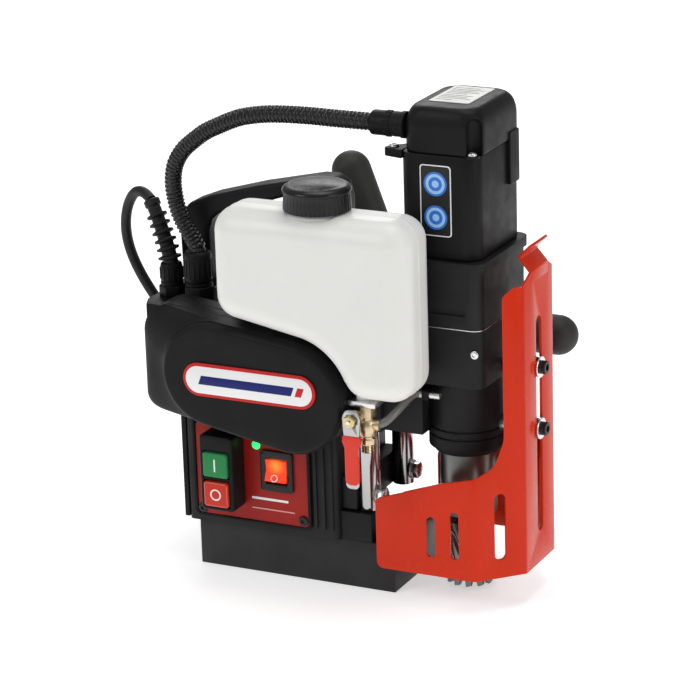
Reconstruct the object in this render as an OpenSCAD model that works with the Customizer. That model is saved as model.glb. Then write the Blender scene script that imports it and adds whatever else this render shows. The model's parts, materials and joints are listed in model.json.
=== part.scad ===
// Magnetic drill press: a drill head that slides on two guide rods above a holding magnet.
// Millimetres. Origin: centre of the magnet's bottom face. +X to the drill, +Z up.

/* [Magnet] */
// Length of the holding magnet
magnet_l = 160; // [156:1:164]
// Width of the holding magnet
magnet_w = 80; // [80:1:84]
// Height of the holding magnet
magnet_h = 36.5; // [34:0.5:36.5]

/* [Housing] */
// Wall of the cast housing
wall = 4; // [3.5:0.5:4.5]
// Thickness of the control panel plate
panel_t = 2.5; // [2:0.5:3]
// How far the switch box stands out of the panel
switch_box_depth = 21.5; // [18:0.5:21.5]

/* [Slide] */
// Radius of a guide rod
rod_r = 8; // [7.5:0.25:8]
// Distance from the middle plane to a rod
rod_y = 29; // [29:0.5:30]
// Running gap all round a rod or a shaft
run_gap = 0.05; // [0.03:0.01:0.08]

/* [Drill head] */
// Distance of the drill axis from the magnet's centre
drill_x = 122; // [120:1:124]
// Radius of the spindle nose
nose_r = 20.5; // [19:0.5:21]
// Radius of the annular cutter
cutter_r = 18; // [16:0.5:18]
// Teeth on the cutter
cutter_teeth = 12; // [8:1:14]
// Height of the cutter's teeth above the magnet's face
cutter_z = 3; // [2:0.5:4]
// Radius of the shank that fits the arbor
shank_r = 9.5; // [9:0.25:9.5]

/* [Guard] */
// Thickness of the guard sheet
sheet = 2; // [1.5:0.5:2]
// Half the width over the guard's side panels
guard_y = 55; // [54:0.5:56]
// Front face of the guard
guard_x = 178; // [177:0.5:179]
// Bottom edge of the guard
guard_z = 25; // [24:1:30]

/* [Coolant] */
// Corner radius of the blow-moulded tank
tank_r = 18; // [16:1:18]
// Wall of the tank
tank_wall = 2; // [1.5:0.5:2.5]
// Radius of the filler cap
cap_r = 24.5; // [22:0.5:25]

/* [Feed] */
// Radius of the end of a feed handle
grip_r = 15; // [13:0.5:15.5]
// Distance from the feed axis to the middle of a grip's round end
grip_reach = 116; // [112:1:118]
// Angle of the first handle above +X
grip_angle = 116.4; // [112:0.2:120]

/* [Cables] */
// Diameter of the power cord
cord_d = 8; // [7.6:0.1:8]
// Outer diameter of the ribbed conduit
conduit_d = 13; // [12:0.5:13.5]

/* [Hidden] */
$fn = 48;
eps = 0.01;

// Housing: ranges of the casting along each axis
house_x = [-86, 38];
house_y = [-45, 40];
house_top = 198;
tower_x = [-40, 38];
tower_y = [-42, 38];
tower_top = 232;
face_y = house_y[0];
panel_y = face_y - panel_t;

// Slide: rods, blocks and the carriage that rides on them
rod_x = 56;
rod_z = [59.5, 240];
carriage_z = [123, 176];
bushing_r = rod_r + 2;
bolt_z = 70;

// Feed: a pinion on the capstan's shaft drives the rack on the carriage
feed_x = 32;
feed_z = 167;
feed_module = 1.25;
feed_teeth = 16;
feed_r = feed_module * feed_teeth / 2;
shaft_r = 4.5;
train_teeth = [24, 36];
// Distance between the axes of two gears of module 1
train_gap = (train_teeth[0] + train_teeth[1]) / 2;
train_y = [-66, -58];

// Drill head
box_z = [165, 208, 250, 257];
box_y = 42;
box_x = [92, 152];
barrel_r = 28;
motor_x = [90, 149.5];
motor_y = 40;
motor_z = [257, 332, 364.6];
gear_gap = 20;
nose_z = [58, 106];
bore_top = 95;
pin_r = 3.2;
cutter_top = 52;
slot_half = 5;
mount_z = [127, 173];

// Tank
tank_y = [-98, -46];
cap_at = [43, -72];
valve_at = [76.5, -72];
lever_at = [72, 148];

// Cord: out of its gland, over and down behind the housing, into a coil on the floor
cord_r = cord_d / 2;
relief_route = [[-110, -12, 222], [-112.5, -11, 232], [-116.5, -9.2, 242], [-121, -7.2, 251.5],
    [-125.5, -5.2, 260], [-129.5, -3.3, 267]];
cord_route = [[-129.5, -3.3, 267], [-135.5, -0.5, 271], [-143, 3, 271.5],
    [-150.5, 6.5, 267], [-157.5, 10, 257], [-162, 13, 244], [-163.5, 16, 230], [-161.5, 18, 217],
    [-157.5, 20.5, 204], [-151.5, 23, 191], [-144.5, 26, 178], [-137.5, 29, 164.5],
    [-130, 32.5, 151], [-122, 36, 138], [-114.5, 39.5, 124], [-109.5, 42, 108], [-107.5, 43.5, 90],
    [-107, 44, 70], [-107, 44, 52], [-107, 44, 36], [-104.8, 45, 23.8], [-98.5, 48, 13.5],
    [-89, 52.4, 6.6], [-78, 57.5, 4.2]];
coil_at = [-100, 105.5];
coil_r = [31, 57];
coil_h = 32;
tail_route = [[-92, 53.2, 27.5], [-84, 54.2, 26.2], [-76, 56.5, 24], [-70, 59, 21.6], [-65, 61, 19.2],
    [-60, 62, 17.6], [-50, 62, 17]];
plug_r = 17;

// Conduit, from the gland on the housing to the motor
conduit_route = [[-84, -18, 236], [-84.5, -18, 240], [-88, -18, 246.5], [-94, -18, 256],
    [-98, -18, 265], [-100.5, -18, 275], [-101, -19, 288], [-98, -20, 301], [-91, -20.5, 312],
    [-82, -21, 320], [-71, -21.5, 328], [-59, -22, 334], [-48, -23, 339], [-36, -24, 343],
    [-16, -25, 346.5], [12, -26.5, 348.2], [39, -28, 348.5], [65.7, -28, 348.5]];
// Coolant hose, from the valve to the nozzle on the drill head
hose_route = [[84, -72, 141], [88.5, -70, 142.5], [92.5, -65, 146], [95, -59, 149.5],
    [96.5, -53, 152.3], [97.5, -47, 154.5], [99, -41.5, 155.7], [101, -39, 156], [104.2, -38.6, 156]];

function unit(v) = v / norm(v);
// Point at t from p[i] to p[i + 1] on a smooth curve through the route
function spot(p, i, t) =
    let(a = p[max(i - 1, 0)], b = p[i], c = p[i + 1], d = p[min(i + 2, len(p) - 1)])
    0.5 * (2 * b + (c - a) * t + (2 * a - 5 * b + 4 * c - d) * t * t
        + (3 * b - a - 3 * c + d) * t * t * t);
function smooth(p, n) =
    concat([for (i = [0:len(p) - 2], k = [0:n - 1]) spot(p, i, k / n)], [p[len(p) - 1]]);
function heading(p, i) = unit(p[min(i + 1, len(p) - 1)] - p[max(i - 1, 0)]);
// A direction square to the route at each point, carried along without twist
function sideways(p, i = 0, u = [0, 1, 0.1], out = []) =
    i == len(p) ? out
    : let(t = heading(p, i), w = unit(u - (u * t) * t)) sideways(p, i + 1, w, concat(out, [w]));

// Closed tube through the points p, with one radius a point in r
module tube(p, r, n = 10) {
    u = sideways(p);
    rings = [for (i = [0:len(p) - 1], k = [0:n - 1])
        p[i] + r[i] * (cos(360 * k / n) * u[i] + sin(360 * k / n) * cross(heading(p, i), u[i]))];
    last = (len(p) - 1) * n;
    walls = [for (i = [0:len(p) - 2], k = [0:n - 1])
        [i * n + k, (i + 1) * n + k, (i + 1) * n + (k + 1) % n, i * n + (k + 1) % n]];
    polyhedron(rings, concat([[for (k = [0:n - 1]) k]], walls, [[for (k = [n - 1:-1:0]) last + k]]), 10);
}

// Rectangle with round corners, between the given ranges
module plate(x, y, r) {
    translate([x[0] + r, y[0]]) square([x[1] - x[0] - 2 * r, y[1] - y[0]]);
    translate([x[0], y[0] + r]) square([x[1] - x[0], y[1] - y[0] - 2 * r]);
    for (cx = [x[0] + r, x[1] - r], cy = [y[0] + r, y[1] - r]) translate([cx, cy]) circle(r);
}

// Upright block between the given ranges, with round vertical edges
module block(x, y, z, r) {
    translate([0, 0, z[0]]) linear_extrude(z[1] - z[0]) plate(x, y, r);
}

// Plain block between the given ranges
module brick(x, y, z) {
    translate([x[0], y[0], z[0]]) cube([x[1] - x[0], y[1] - y[0], z[1] - z[0]]);
}

// Outline drawn in X and Z, extruded along Y
module along_y(y) {
    translate([0, y[1], 0]) rotate([90, 0, 0]) linear_extrude(y[1] - y[0]) children();
}

module bar_x(x, at, r) { translate([x[0], at[0], at[1]]) rotate([0, 90, 0]) cylinder(r = r, h = x[1] - x[0]); }
module bar_y(y, at, r) { translate([at[0], y[0], at[1]]) rotate([-90, 0, 0]) cylinder(r = r, h = y[1] - y[0]); }
module bar_z(z, at, r) { translate([at[0], at[1], z[0]]) cylinder(r = r, h = z[1] - z[0]); }
module ring_z(z, at, r_out, r_in) {
    difference() {
        bar_z(z, at, r_out);
        bar_z([z[0] - 1, z[1] + 1], at, r_in);
    }
}

// Gear with straight flanks, teeth thin enough to run with backlash
module gear(teeth, pitch_r, h) {
    m = 2 * pitch_r / teeth;
    step = 360 / teeth;
    linear_extrude(h) union() {
        circle(pitch_r - 1.2 * m);
        for (k = [0:teeth - 1]) rotate(k * step) polygon([
            [pitch_r - 1.4 * m, -0.85 * m], [pitch_r - 1.2 * m, -0.85 * m], [pitch_r, -0.6 * m],
            [pitch_r + 0.8 * m, -0.22 * m], [pitch_r + 0.8 * m, 0.22 * m], [pitch_r, 0.6 * m],
            [pitch_r - 1.2 * m, 0.85 * m], [pitch_r - 1.4 * m, 0.85 * m]]);
    }
}

// ---- Magnet ----

coil_x = [-38, 38];
coil_half = [30, 29];
pole_half = [15, 17];
coil_deep = 24;

module coil_ring(x, gap, z) {
    difference() {
        brick([x - coil_half[0] + gap, x + coil_half[0] - gap], [-coil_half[1] + gap, coil_half[1] - gap], z);
        brick([x - pole_half[0] - gap, x + pole_half[0] + gap], [-pole_half[1] - gap, pole_half[1] + gap],
            [z[0] - 1, z[1] + 1]);
    }
}

module magnet_base() color([0.1, 0.1, 0.11]) difference() {
    brick([-magnet_l / 2, magnet_l / 2], [-magnet_w / 2, magnet_w / 2], [0, magnet_h]);
    for (x = coil_x) coil_ring(x, 0, [-1, coil_deep]);
}

module magnet_coils() color([0.45, 0.24, 0.12]) for (x = coil_x) coil_ring(x, 0.1, [0.4, coil_deep - 0.1]);

// ---- Housing ----

module housing_shape(inset) {
    block([house_x[0] + inset, house_x[1] - inset], [house_y[0] + inset, house_y[1] - inset],
        [magnet_h + inset, house_top - inset], 4);
    block([tower_x[0] + inset, tower_x[1] - inset], [tower_y[0] + inset, tower_y[1] - inset],
        [magnet_h + inset, tower_top - inset], 4);
}

module body_housing() color([0.12, 0.12, 0.12]) {
    difference() {
        union() {
            housing_shape(0);
            // Boss that carries the capstan
            bar_y([house_y[1] - 1, 60], [feed_x, feed_z], 11);
            // Ribs beside the panel, and the foot at the front of the magnet
            for (x = [19, 25.5, 32]) brick([x, x + 2.5], [face_y - 1.5, face_y + 1], [44, 112]);
            brick([house_x[1] - 1, 62], [-magnet_w / 2, -magnet_w / 2 + 24], [magnet_h, 58]);
        }
        housing_shape(wall);
        // Open back, closed by the rear cover
        brick([house_x[0] - 1, house_x[0] + wall + 1], [house_y[0] + 8, house_y[1] - 8],
            [magnet_h + 8, house_top - 8]);
        // Window for the feed pinion
        brick([house_x[1] - wall - 1, house_x[1] + 1], [-9, 9], [feed_z - 15, feed_z + 15]);
        bar_y([house_y[0] - 1, 61], [feed_x, feed_z], shaft_r + run_gap);
        bar_y([house_y[0] - 1, house_y[0] + wall + 1], [feed_x - train_gap, feed_z], 6);
        // Window for the rocker switch
        brick([-20.5, 2.5], [house_y[0] - 1, house_y[0] + wall + 1], [72, 98]);
    }
}

bump_plan = [[-85, -38], [-118, -38], [-128, -15], [-128, 38], [-85, 38]];
bump_side = [[-86, 132], [-116, 148], [-129, 163], [-129, 192], [-123, 198], [-86, 198]];
bump_plan_in = [[-84, -34], [-115, -34], [-124, -13], [-124, 34], [-84, 34]];
bump_side_in = [[-85, 137], [-114, 152], [-125, 165], [-125, 190], [-121, 194], [-85, 194]];

module rear_cover() color([0.11, 0.11, 0.11]) difference() {
    union() {
        brick([house_x[0] - wall, house_x[0]], [house_y[0] + 1, house_y[1] - 1], [magnet_h + 1, house_top]);
        intersection() {
            along_y([-50, 50]) polygon(bump_side);
            translate([0, 0, 100]) linear_extrude(110) polygon(bump_plan);
        }
    }
    intersection() {
        along_y([-50, 50]) polygon(bump_side_in);
        translate([0, 0, 100]) linear_extrude(110) polygon(bump_plan_in);
    }
    bar_z([190, 200], [-110, -12], 6);
}

module control_panel() color([0.7, 0.12, 0.1]) difference() {
    along_y([panel_y, face_y]) plate([-76, 15], [44, 115], 3);
    along_y([panel_y - 1, face_y + 1]) plate([-57, -41], [64, 96], 1);
    along_y([panel_y - 1, face_y + 1]) plate([-19.5, 1.5], [73, 97], 1);
    bar_y([panel_y - 1, face_y + 1], [-26, 103], 2.4);
}

// Panel screws, and the bolts that hold the rods in the lower block
module case_screws() color([0.75, 0.75, 0.75]) {
    for (s = [[11, 49], [-72, 48]]) bar_y([panel_y - 2, panel_y], s, 3.6);
    for (y = [-rod_y, rod_y]) {
        bar_x([42, 64], [y, bolt_z], 3);
        translate([rod_x + rod_r, y, bolt_z]) rotate([0, 90, 0]) cylinder(r = 6.5, h = 5.5, $fn = 6);
    }
}

box_front = panel_y - switch_box_depth + 2;
button_x = [-59.5, -39.5];
start_z = [81, 100.5];
stop_z = [58.5, 78];

module switch_box() color([0.06, 0.06, 0.06]) difference() {
    along_y([box_front, panel_y]) plate([-63, -36], [55, 113], 3);
    for (z = [start_z, stop_z]) along_y([box_front - 1, box_front + 14])
        plate([button_x[0] - 0.4, button_x[1] + 0.4], [z[0] - 0.4, z[1] + 0.4], 1.4);
}

module push_button(z) along_y([box_front - 2, box_front + 9]) plate(button_x, z, 1);
module start_button() color([0.2, 0.6, 0.35]) push_button(start_z);
module stop_button() color([0.8, 0.25, 0.18]) push_button(stop_z);

rocker_hinge = [-44, 85];

module rocker_frame() color([0.05, 0.05, 0.05]) difference() {
    union() {
        along_y([panel_y - 2.5, panel_y]) plate([-22, 4], [69.5, 100.5], 2);
        along_y([panel_y, -33]) plate([-19.5, 1.5], [73, 97], 1);
    }
    along_y([panel_y - 3, -35]) plate([-17.9, -0.1], [74.9, 95.1], 0.8);
    // Holes for the rocker's pins
    bar_x([-18.9, 0.9], rocker_hinge, 1.05);
}

// Rocker, tipped to one side; its cross-section is drawn in Y and Z about the hinge
module rocker_switch() color([0.95, 0.3, 0.08]) {
    translate([-17.5, rocker_hinge[0], rocker_hinge[1]]) rotate([-8, 0, 0]) rotate([90, 0, 90])
        linear_extrude(17) polygon([[-6.8, -8.4], [-7.8, -8], [-5.8, 0], [-7.8, 8], [-6.8, 8.4],
            [4, 6.5], [4, -6.5]]);
    bar_x([-18.6, 0.6], rocker_hinge, 1);
}

module led_lens() color([0.2, 0.9, 0.4]) {
    bar_y([panel_y, face_y], [-26, 103], 2.4);
    bar_y([panel_y - 1.5, panel_y], [-26, 103], 3.4);
}

// ---- Feed cover ----

cover_tail = [-78, 190];
cover_low = [-88, 144];
cover_mid = [-38, 168];
cover_nose = [24, 158];
cover_y = [-92, -72, face_y];

module disc(at, r, y, t = 1) bar_y([y, y + t], at, r, $fn = 32);

module rear_outline(inset) hull() {
    translate(cover_tail) circle(22 - inset);
    translate(cover_low) circle(12 - inset);
    translate(cover_nose) circle(42 - inset);
}

module feed_cover_rear() color([0.1, 0.1, 0.1]) difference() {
    along_y([cover_y[1], cover_y[2]]) rear_outline(0);
    along_y([cover_y[1] - 1, cover_y[2] - 3]) rear_outline(3);
    bar_y([cover_y[2] - 4, cover_y[2] + 1], [feed_x, feed_z], 6);
    bar_y([cover_y[2] - 4, cover_y[2] + 1], [feed_x - train_gap, feed_z], 6);
}

module front_form(inset) hull() {
    disc(cover_tail, 22 - inset, cover_y[1] - 1);
    disc(cover_low, 12 - inset, cover_y[1] - 1);
    disc(cover_nose, 42 - inset, cover_y[1] - 14 + inset, 14 - inset);
    disc(cover_mid, 40 - inset, cover_y[1] - 14 + inset, 4);
    disc(cover_mid, 37 - inset, cover_y[0] + inset);
    disc(cover_nose, 39 - inset, cover_y[0] + inset);
}

module feed_cover_front() color([0.09, 0.09, 0.09]) difference() {
    front_form(0);
    front_form(3);
    // Opens the shell at the back, where it meets the rear part
    along_y([cover_y[1] - 1 - eps, cover_y[1] + 1]) rear_outline(3);
}

module badge_plate() color([0.9, 0.9, 0.9]) along_y([cover_y[0] - 1.2, cover_y[0]])
    plate([-58.5, 47], [153, 178], 12.4);

// ---- Carry handle ----

module carry_handle() color([0.1, 0.1, 0.1]) along_y([-3, 19]) polygon([
    [-106, house_top], [-107, 240], [-105, 258], [-99, 267], [-80, 274.5], [-41, 285.5], [-19, 290.5],
    [6, 296], [18, 296.5], [26, 291], [28.5, 280], [28, tower_top], [8, tower_top], [8.5, 270],
    [4, 278], [-6, 280.5], [-20, 278.6], [-41, 271.5], [-74, 261], [-80, 256], [-83, 247],
    [-82.5, 228], [-88, house_top]]);

// ---- Feed ----

module capstan_hub() color([0.3, 0.3, 0.32]) {
    bar_y([-67, 96], [feed_x, feed_z], shaft_r);
    translate([feed_x, train_y[1], feed_z]) rotate([90, 0, 0])
        gear(train_teeth[1], train_teeth[1] / 2, train_y[1] - train_y[0]);
    translate([feed_x, 8, feed_z]) rotate([90, 0, 0]) gear(feed_teeth, feed_r, 16);
    bar_y([60.3, 80], [feed_x, feed_z], 13);
    bar_y([79, 98], [feed_x, feed_z], 17);
}

// Places its children along a handle: +Z outwards, from the middle of the hub
hub_y = 88;
lean = 10.5;
module each_handle() for (k = [0:2]) translate([feed_x, hub_y, feed_z])
    rotate([0, 90 - grip_angle + 120 * k, 0]) rotate([-lean, 0, 0]) children();

module capstan_spokes() color([0.55, 0.55, 0.57]) each_handle()
    translate([0, 0, 14]) cylinder(r = 6, h = 22);

module capstan_grips() color([0.08, 0.08, 0.08]) each_handle() difference() {
    union() {
        translate([0, 0, 30]) cylinder(r = grip_r - 2, h = 3);
        translate([0, 0, 33]) cylinder(r = grip_r, h = grip_reach + 2 - 33);
        translate([0, 0, grip_reach + 2]) sphere(grip_r);
    }
    translate([0, 0, 29]) cylinder(r = 6, h = 7);
}

module feed_motor() color([0.3, 0.3, 0.3]) difference() {
    bar_y([face_y + wall, 15], [feed_x - train_gap, feed_z], 17.5);
    bar_y([face_y, 8], [feed_x - train_gap, feed_z], 3 + run_gap);
}

module feed_pinion() color([0.5, 0.5, 0.52]) {
    translate([feed_x - train_gap, train_y[1], feed_z]) rotate([90, 0, 0])
        rotate(180 / train_teeth[0]) gear(train_teeth[0], train_teeth[0] / 2, train_y[1] - train_y[0]);
    bar_y([train_y[1], 7], [feed_x - train_gap, feed_z], 3);
}

module control_board() color([0.15, 0.35, 0.2]) {
    brick([-76, -26], [20, 22], [60, 150]);
    for (x = [-72, -30], z = [64, 146]) bar_y([22, house_y[1] - wall], [x, z], 3);
    for (x = [-64, -42]) bar_y([-2, 20], [x, 128], 9);
    brick([-70, -40], [8, 20], [70, 100]);
}

// ---- Slide ----

module rod_pair(z, r) for (y = [-rod_y, rod_y]) bar_z(z, [rod_x, y], r);
module bolt_holes(x) for (y = [-rod_y, rod_y]) bar_x(x, [y, bolt_z], 3);

module guide_rods() color([0.8, 0.8, 0.82]) difference() {
    rod_pair(rod_z, rod_r);
    bolt_holes([rod_x - rod_r - 1, rod_x + rod_r + 1]);
}

module lower_rod_block() color([0.13, 0.13, 0.13]) difference() {
    block([house_x[1], 50], [-38, 38], [60, 84], 1);
    rod_pair([59, 85], rod_r);
    bolt_holes([42, 51]);
}

module upper_rod_block() color([0.13, 0.13, 0.13]) difference() {
    block([house_x[1], 68], [-40, 40], [218, tower_top + 2], 2);
    brick([house_x[1] - 1, 54], [-14, 14], [217, tower_top + 3]);
    rod_pair([217, tower_top + 3], rod_r);
}

// ---- Drill head ----

head_at = [drill_x, 0];

module carriage() color([0.11, 0.11, 0.11]) difference() {
    union() {
        block([44, 72], [-41, 41], carriage_z, 4);
        brick([70, 102], [-34, 34], [123, box_z[0]]);
        brick([47, 53], [-12, 12], [carriage_z[1] - 1, 205]);
    }
    brick([43, 47], [-7, 7], [122, 206]);
    rod_pair([122, 177], bushing_r);
    bar_z([120, 170], head_at, barrel_r);
    // Pocket that lightens the casting between the rods
    brick([53.5, 66], [-13, 13], [129, 170]);
}

module rod_bushings() color([0.7, 0.55, 0.25]) for (y = [-rod_y, rod_y])
    ring_z(carriage_z, [rod_x, y], bushing_r, rod_r + run_gap);

rack_root = feed_x + feed_r + 1.2 * feed_module;
rack_pitch = PI * feed_module;

module feed_rack() color([0.5, 0.5, 0.52]) {
    brick([rack_root, 47], [-7, 7], [117, 205]);
    for (k = [-12:8]) translate([rack_root, 0, feed_z + (k + 0.5) * rack_pitch])
        along_y([-7, 7]) polygon([[0.5, -1.6], [0, -1.5], [-1.5, -0.9], [-2.4, -0.35], [-2.4, 0.35],
            [-1.5, 0.9], [0, 1.5], [0.5, 1.6]]);
}

module gearbox_housing() color([0.11, 0.11, 0.11]) difference() {
    union() {
        bar_z([110, box_z[0] + 1], head_at, barrel_r);
        bar_z([106, 110], head_at, barrel_r - 4);
        block(box_x, [-box_y, box_y], [box_z[0], box_z[1]], 8);
    }
    block([box_x[0] + 5, box_x[1] - 5], [-box_y + 4, box_y - 4], [box_z[0] + 4, box_z[1] + 1], 4);
    // Stepped bore for the spindle and its bearings, and the countershaft's seat
    bar_z([105, 111], head_at, 14);
    bar_z([110, 153], head_at, 18);
    bar_z([152, 170], head_at, 13.5);
    bar_z([160, 170], [drill_x, gear_gap], 4 + run_gap);
    for (z = [119, 125]) ring_z([z, z + 1.2], head_at, barrel_r + 1, barrel_r - 1);
}

module gearbox_cover() color([0.12, 0.12, 0.12]) difference() {
    union() {
        block(box_x, [-box_y, box_y], [box_z[1], box_z[2]], 8);
        block([motor_x[0], box_x[1] + 2], [-box_y - 2, box_y + 2], [box_z[2], box_z[3]], 9);
    }
    block([box_x[0] + 5, box_x[1] - 5], [-box_y + 4, box_y - 4], [box_z[1] - 1, box_z[2] + 1], 4);
    bar_z([240, 258], head_at, 9);
    bar_z([240, 255], [drill_x, gear_gap], 4 + run_gap);
    // Cooling slot in the face
    brick([113, 140], [-box_y - 1, -box_y + 1.5], [218, 222.5]);
}

// Hollow motor body on a ring that carries the stator, with a lug for the cable guide
module motor_housing() color([0.1, 0.1, 0.1]) difference() {
    union() {
        difference() {
            block(motor_x, [-motor_y, motor_y], [motor_z[0], motor_z[1]], 9);
            block([motor_x[0] + 4, motor_x[1] - 4], [-motor_y + 4, motor_y - 4],
                [motor_z[0] - 1, motor_z[1] + 1], 6);
        }
        bar_z([motor_z[0], 275], head_at, 22);
        brick([motor_x[0] + 3, motor_x[1] - 3], [-2, 2], [motor_z[0], 268]);
        block([76, 91], [-35, -23], [320, motor_z[1]], 3);
    }
    bar_z([motor_z[0] - 1, 276], head_at, 17);
}

module cap_form(inset) hull() {
    block([92 + inset, 151 - inset], [-39 + inset, 39 - inset], [motor_z[1], motor_z[2] - 8], 9 - inset);
    block([97 + inset, 146 - inset], [-34 + inset, 34 - inset],
        [motor_z[2] - 9, motor_z[2] - inset], 9 - inset);
}

module motor_cap() color([0.1, 0.1, 0.1]) {
    difference() {
        cap_form(0);
        cap_form(3.5);
        block([95.5, 147.5], [-35.5, 35.5], [motor_z[1] - 1, motor_z[1] + 4], 5.5);
    }
    // Seat of the upper bearing
    ring_z([338, motor_z[2] - 2], head_at, 13, 9);
}

module drive_screws() color([0.75, 0.75, 0.76]) {
    bar_z([motor_z[1], motor_z[1] + 3], [82, -29], 4);
    for (x = [97, 147]) bar_y([-box_y - 1.5, -box_y], [x, 191], 3.2);
}

module motor_stator() color([0.45, 0.25, 0.15]) ring_z([275, 320], head_at, 22, 16.6);

// Armature: shaft, core, commutator, fan and the pinion cut on the shaft's end
module motor_armature() color([0.5, 0.45, 0.4]) {
    bar_z([219, 352], head_at, 4);
    translate([drill_x, 0, 222]) gear(10, 5, 16);
    bar_z([278, 317], head_at, 16);
    bar_z([258, 272], head_at, 9);
    difference() {
        bar_z([324, 330], head_at, 20);
        for (k = [0:7]) translate([drill_x, 0, 323]) rotate(45 * k) translate([9, -2, 0]) cube([12, 4, 8]);
    }
}

module shaft_bearings() color([0.7, 0.7, 0.72]) {
    for (z = [111, 141]) ring_z([z, z + 11], head_at, 18, 12 + run_gap);
    ring_z([251, 257], head_at, 9, 4 + run_gap);
    ring_z([343, 351], head_at, 9, 4 + run_gap);
}

module countershaft() color([0.5, 0.5, 0.52]) {
    bar_z([163, 254], [drill_x, gear_gap], 4);
    translate([drill_x, gear_gap, 222]) rotate(6) gear(30, 15, 12);
    translate([drill_x, gear_gap, 170]) rotate(180 / 14) gear(14, 7, 14);
}

module spindle() color([0.5, 0.5, 0.5]) difference() {
    union() {
        bar_z([nose_z[0], nose_z[1] - 0.6], head_at, nose_r);
        bar_z([nose_z[1] - 1, 155], head_at, 12);
        bar_z([154, 188], head_at, 8);
        translate([drill_x, 0, 170]) gear(26, 13, 12);
    }
    bar_z([nose_z[0] - 1, bore_top], head_at, shank_r);
    bar_z([bore_top - 1, 125], head_at, pin_r + run_gap);
    // Grub screw that holds the shank
    bar_x([drill_x + shank_r - 1, drill_x + nose_r + 1], [0, 80], 4);
}

module cutter() color([0.35, 0.35, 0.36]) difference() {
    union() {
        bar_z([cutter_z, cutter_top], head_at, cutter_r);
        bar_z([cutter_top - 1, bore_top - 0.5], head_at, shank_r);
    }
    bar_z([cutter_z - 1, 40], head_at, cutter_r - 3.5);
    bar_z([39, bore_top], head_at, pin_r + run_gap);
    for (k = [0:cutter_teeth - 1]) translate([drill_x, 0, 0]) rotate(360 / cutter_teeth * k) {
        translate([cutter_r - 5, -2, cutter_z - 1]) cube([7, 3, 6]);
        translate([cutter_r - 1.2, -2, cutter_z - 1]) cube([3, 2.4, 32]);
    }
}

module pilot_pin() color([0.75, 0.75, 0.76]) bar_z([1, 88], head_at, pin_r);

// Rating plate on the motor cap and the pictogram sticker on the motor
module head_labels() color([0.15, 0.3, 0.5]) {
    block([105, 135.5], [-19, 27.5], [motor_z[2], motor_z[2] + 0.5], 2);
    along_y([-motor_y - 0.4, -motor_y]) plate([107, 130.5], [274, 325], 2);
}

// ---- Guard ----

fold = sheet * tan(23);
guard_out = [[73, -guard_y], [150, -guard_y], [guard_x, -26], [guard_x, 26], [150, guard_y],
    [73, guard_y]];
guard_in = [[72, guard_y - sheet], [150 - fold, guard_y - sheet], [guard_x - sheet, 26 - fold],
    [guard_x - sheet, fold - 26], [150 - fold, sheet - guard_y], [72, sheet - guard_y]];
guard_side = [[72, guard_z], [72, 76], [75, 78.5], [100, 87.5], [124, 96], [150, 102.5], [157, 105.5],
    [161.5, 110], [164, 121], [166.5, 130], [166.5, 233], [168.5, 237], [173, 240], [177, 242.5],
    [177, 262], [180, 262], [180, guard_z]];

module guard() color([0.85, 0.2, 0.1]) difference() {
    union() {
        intersection() {
            linear_extrude(300) polygon(concat(guard_out, guard_in));
            along_y([-60, 60]) polygon(guard_side);
            translate([60, 0, 0]) rotate([90, 0, 90]) linear_extrude(130) polygon([[-60, 0], [60, 0],
                [60, 243], [27, 243], [20, 248.5], [-20, 248.5], [-27, 243], [-60, 243]]);
        }
        // Finger tab, leaning back over the motor
        along_y([-18, 12]) polygon([[guard_x, 247], [guard_x, 249], [166, 264], [162, 265.5],
            [161.5, 264], [165, 262.5], [guard_x - sheet, 248.5], [guard_x - sheet, 247]]);
    }
    along_y([-60, 60]) plate([112.5, 119.5], [39, 70], 3.4);
    along_y([-60, 60]) plate([131.3, 138], [40, 76], 3.3);
    for (s = [-1, 1]) translate([164, s * 40.5, 0]) rotate(-s * 44) translate([-8, 0, 39])
        rotate([90, 0, 90]) linear_extrude(16) plate([-4.3, 4.3], [0, 50], 4.2);
    translate([160, 0, 0]) rotate([90, 0, 90]) linear_extrude(24) plate([-slot_half, slot_half],
        [49, 211], slot_half - 0.1);
}

post_end = guard_x - sheet - 0.3;
washer_x = guard_x + 0.3;

module guard_mounts() color([0.75, 0.75, 0.76]) for (z = mount_z) difference() {
    union() {
        bar_x([148, post_end], [0, z], 7);
        bar_x([post_end - 1, washer_x], [0, z], slot_half - 1);
    }
    bar_z([100, box_z[0]], head_at, barrel_r);
    brick([140, box_x[1]], [-8, 8], [box_z[0], 190]);
}

module guard_screws() color([0.1, 0.1, 0.1]) for (z = mount_z) {
    bar_x([washer_x, washer_x + 1.2], [0, z], 7.6);
    bar_x([washer_x + 1.2, washer_x + 6.2], [0, z], 4.8);
}

// ---- Coolant ----

tank_mid_y = [tank_y[0] + tank_r, tank_y[1] - tank_r];

module tank_part(spots, r) hull() for (s = spots, y = tank_mid_y)
    translate([s[0], y, s[1]]) sphere(r, $fn = 16);

// The lower part is a little slimmer, so that no two walls lie in one plane
module tank_form(r) {
    tank_part([[-14, 230], [-14, 276.5], [102, 276.5], [102, 218], [42, 218]], r);
    tank_part([[82, 182], [102, 182], [102, 230], [70, 230], [66, 204]], r - 0.35);
}

module coolant_tank() color([0.92, 0.92, 0.9]) difference() {
    union() {
        tank_form(tank_r);
        bar_z([287, 304], cap_at, 17);
        bar_z([160.5, 172], valve_at, 7);
    }
    tank_form(tank_r - tank_wall);
    bar_z([286, 305], cap_at, 14);
    bar_z([156, 172], valve_at, 3);
}

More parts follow.
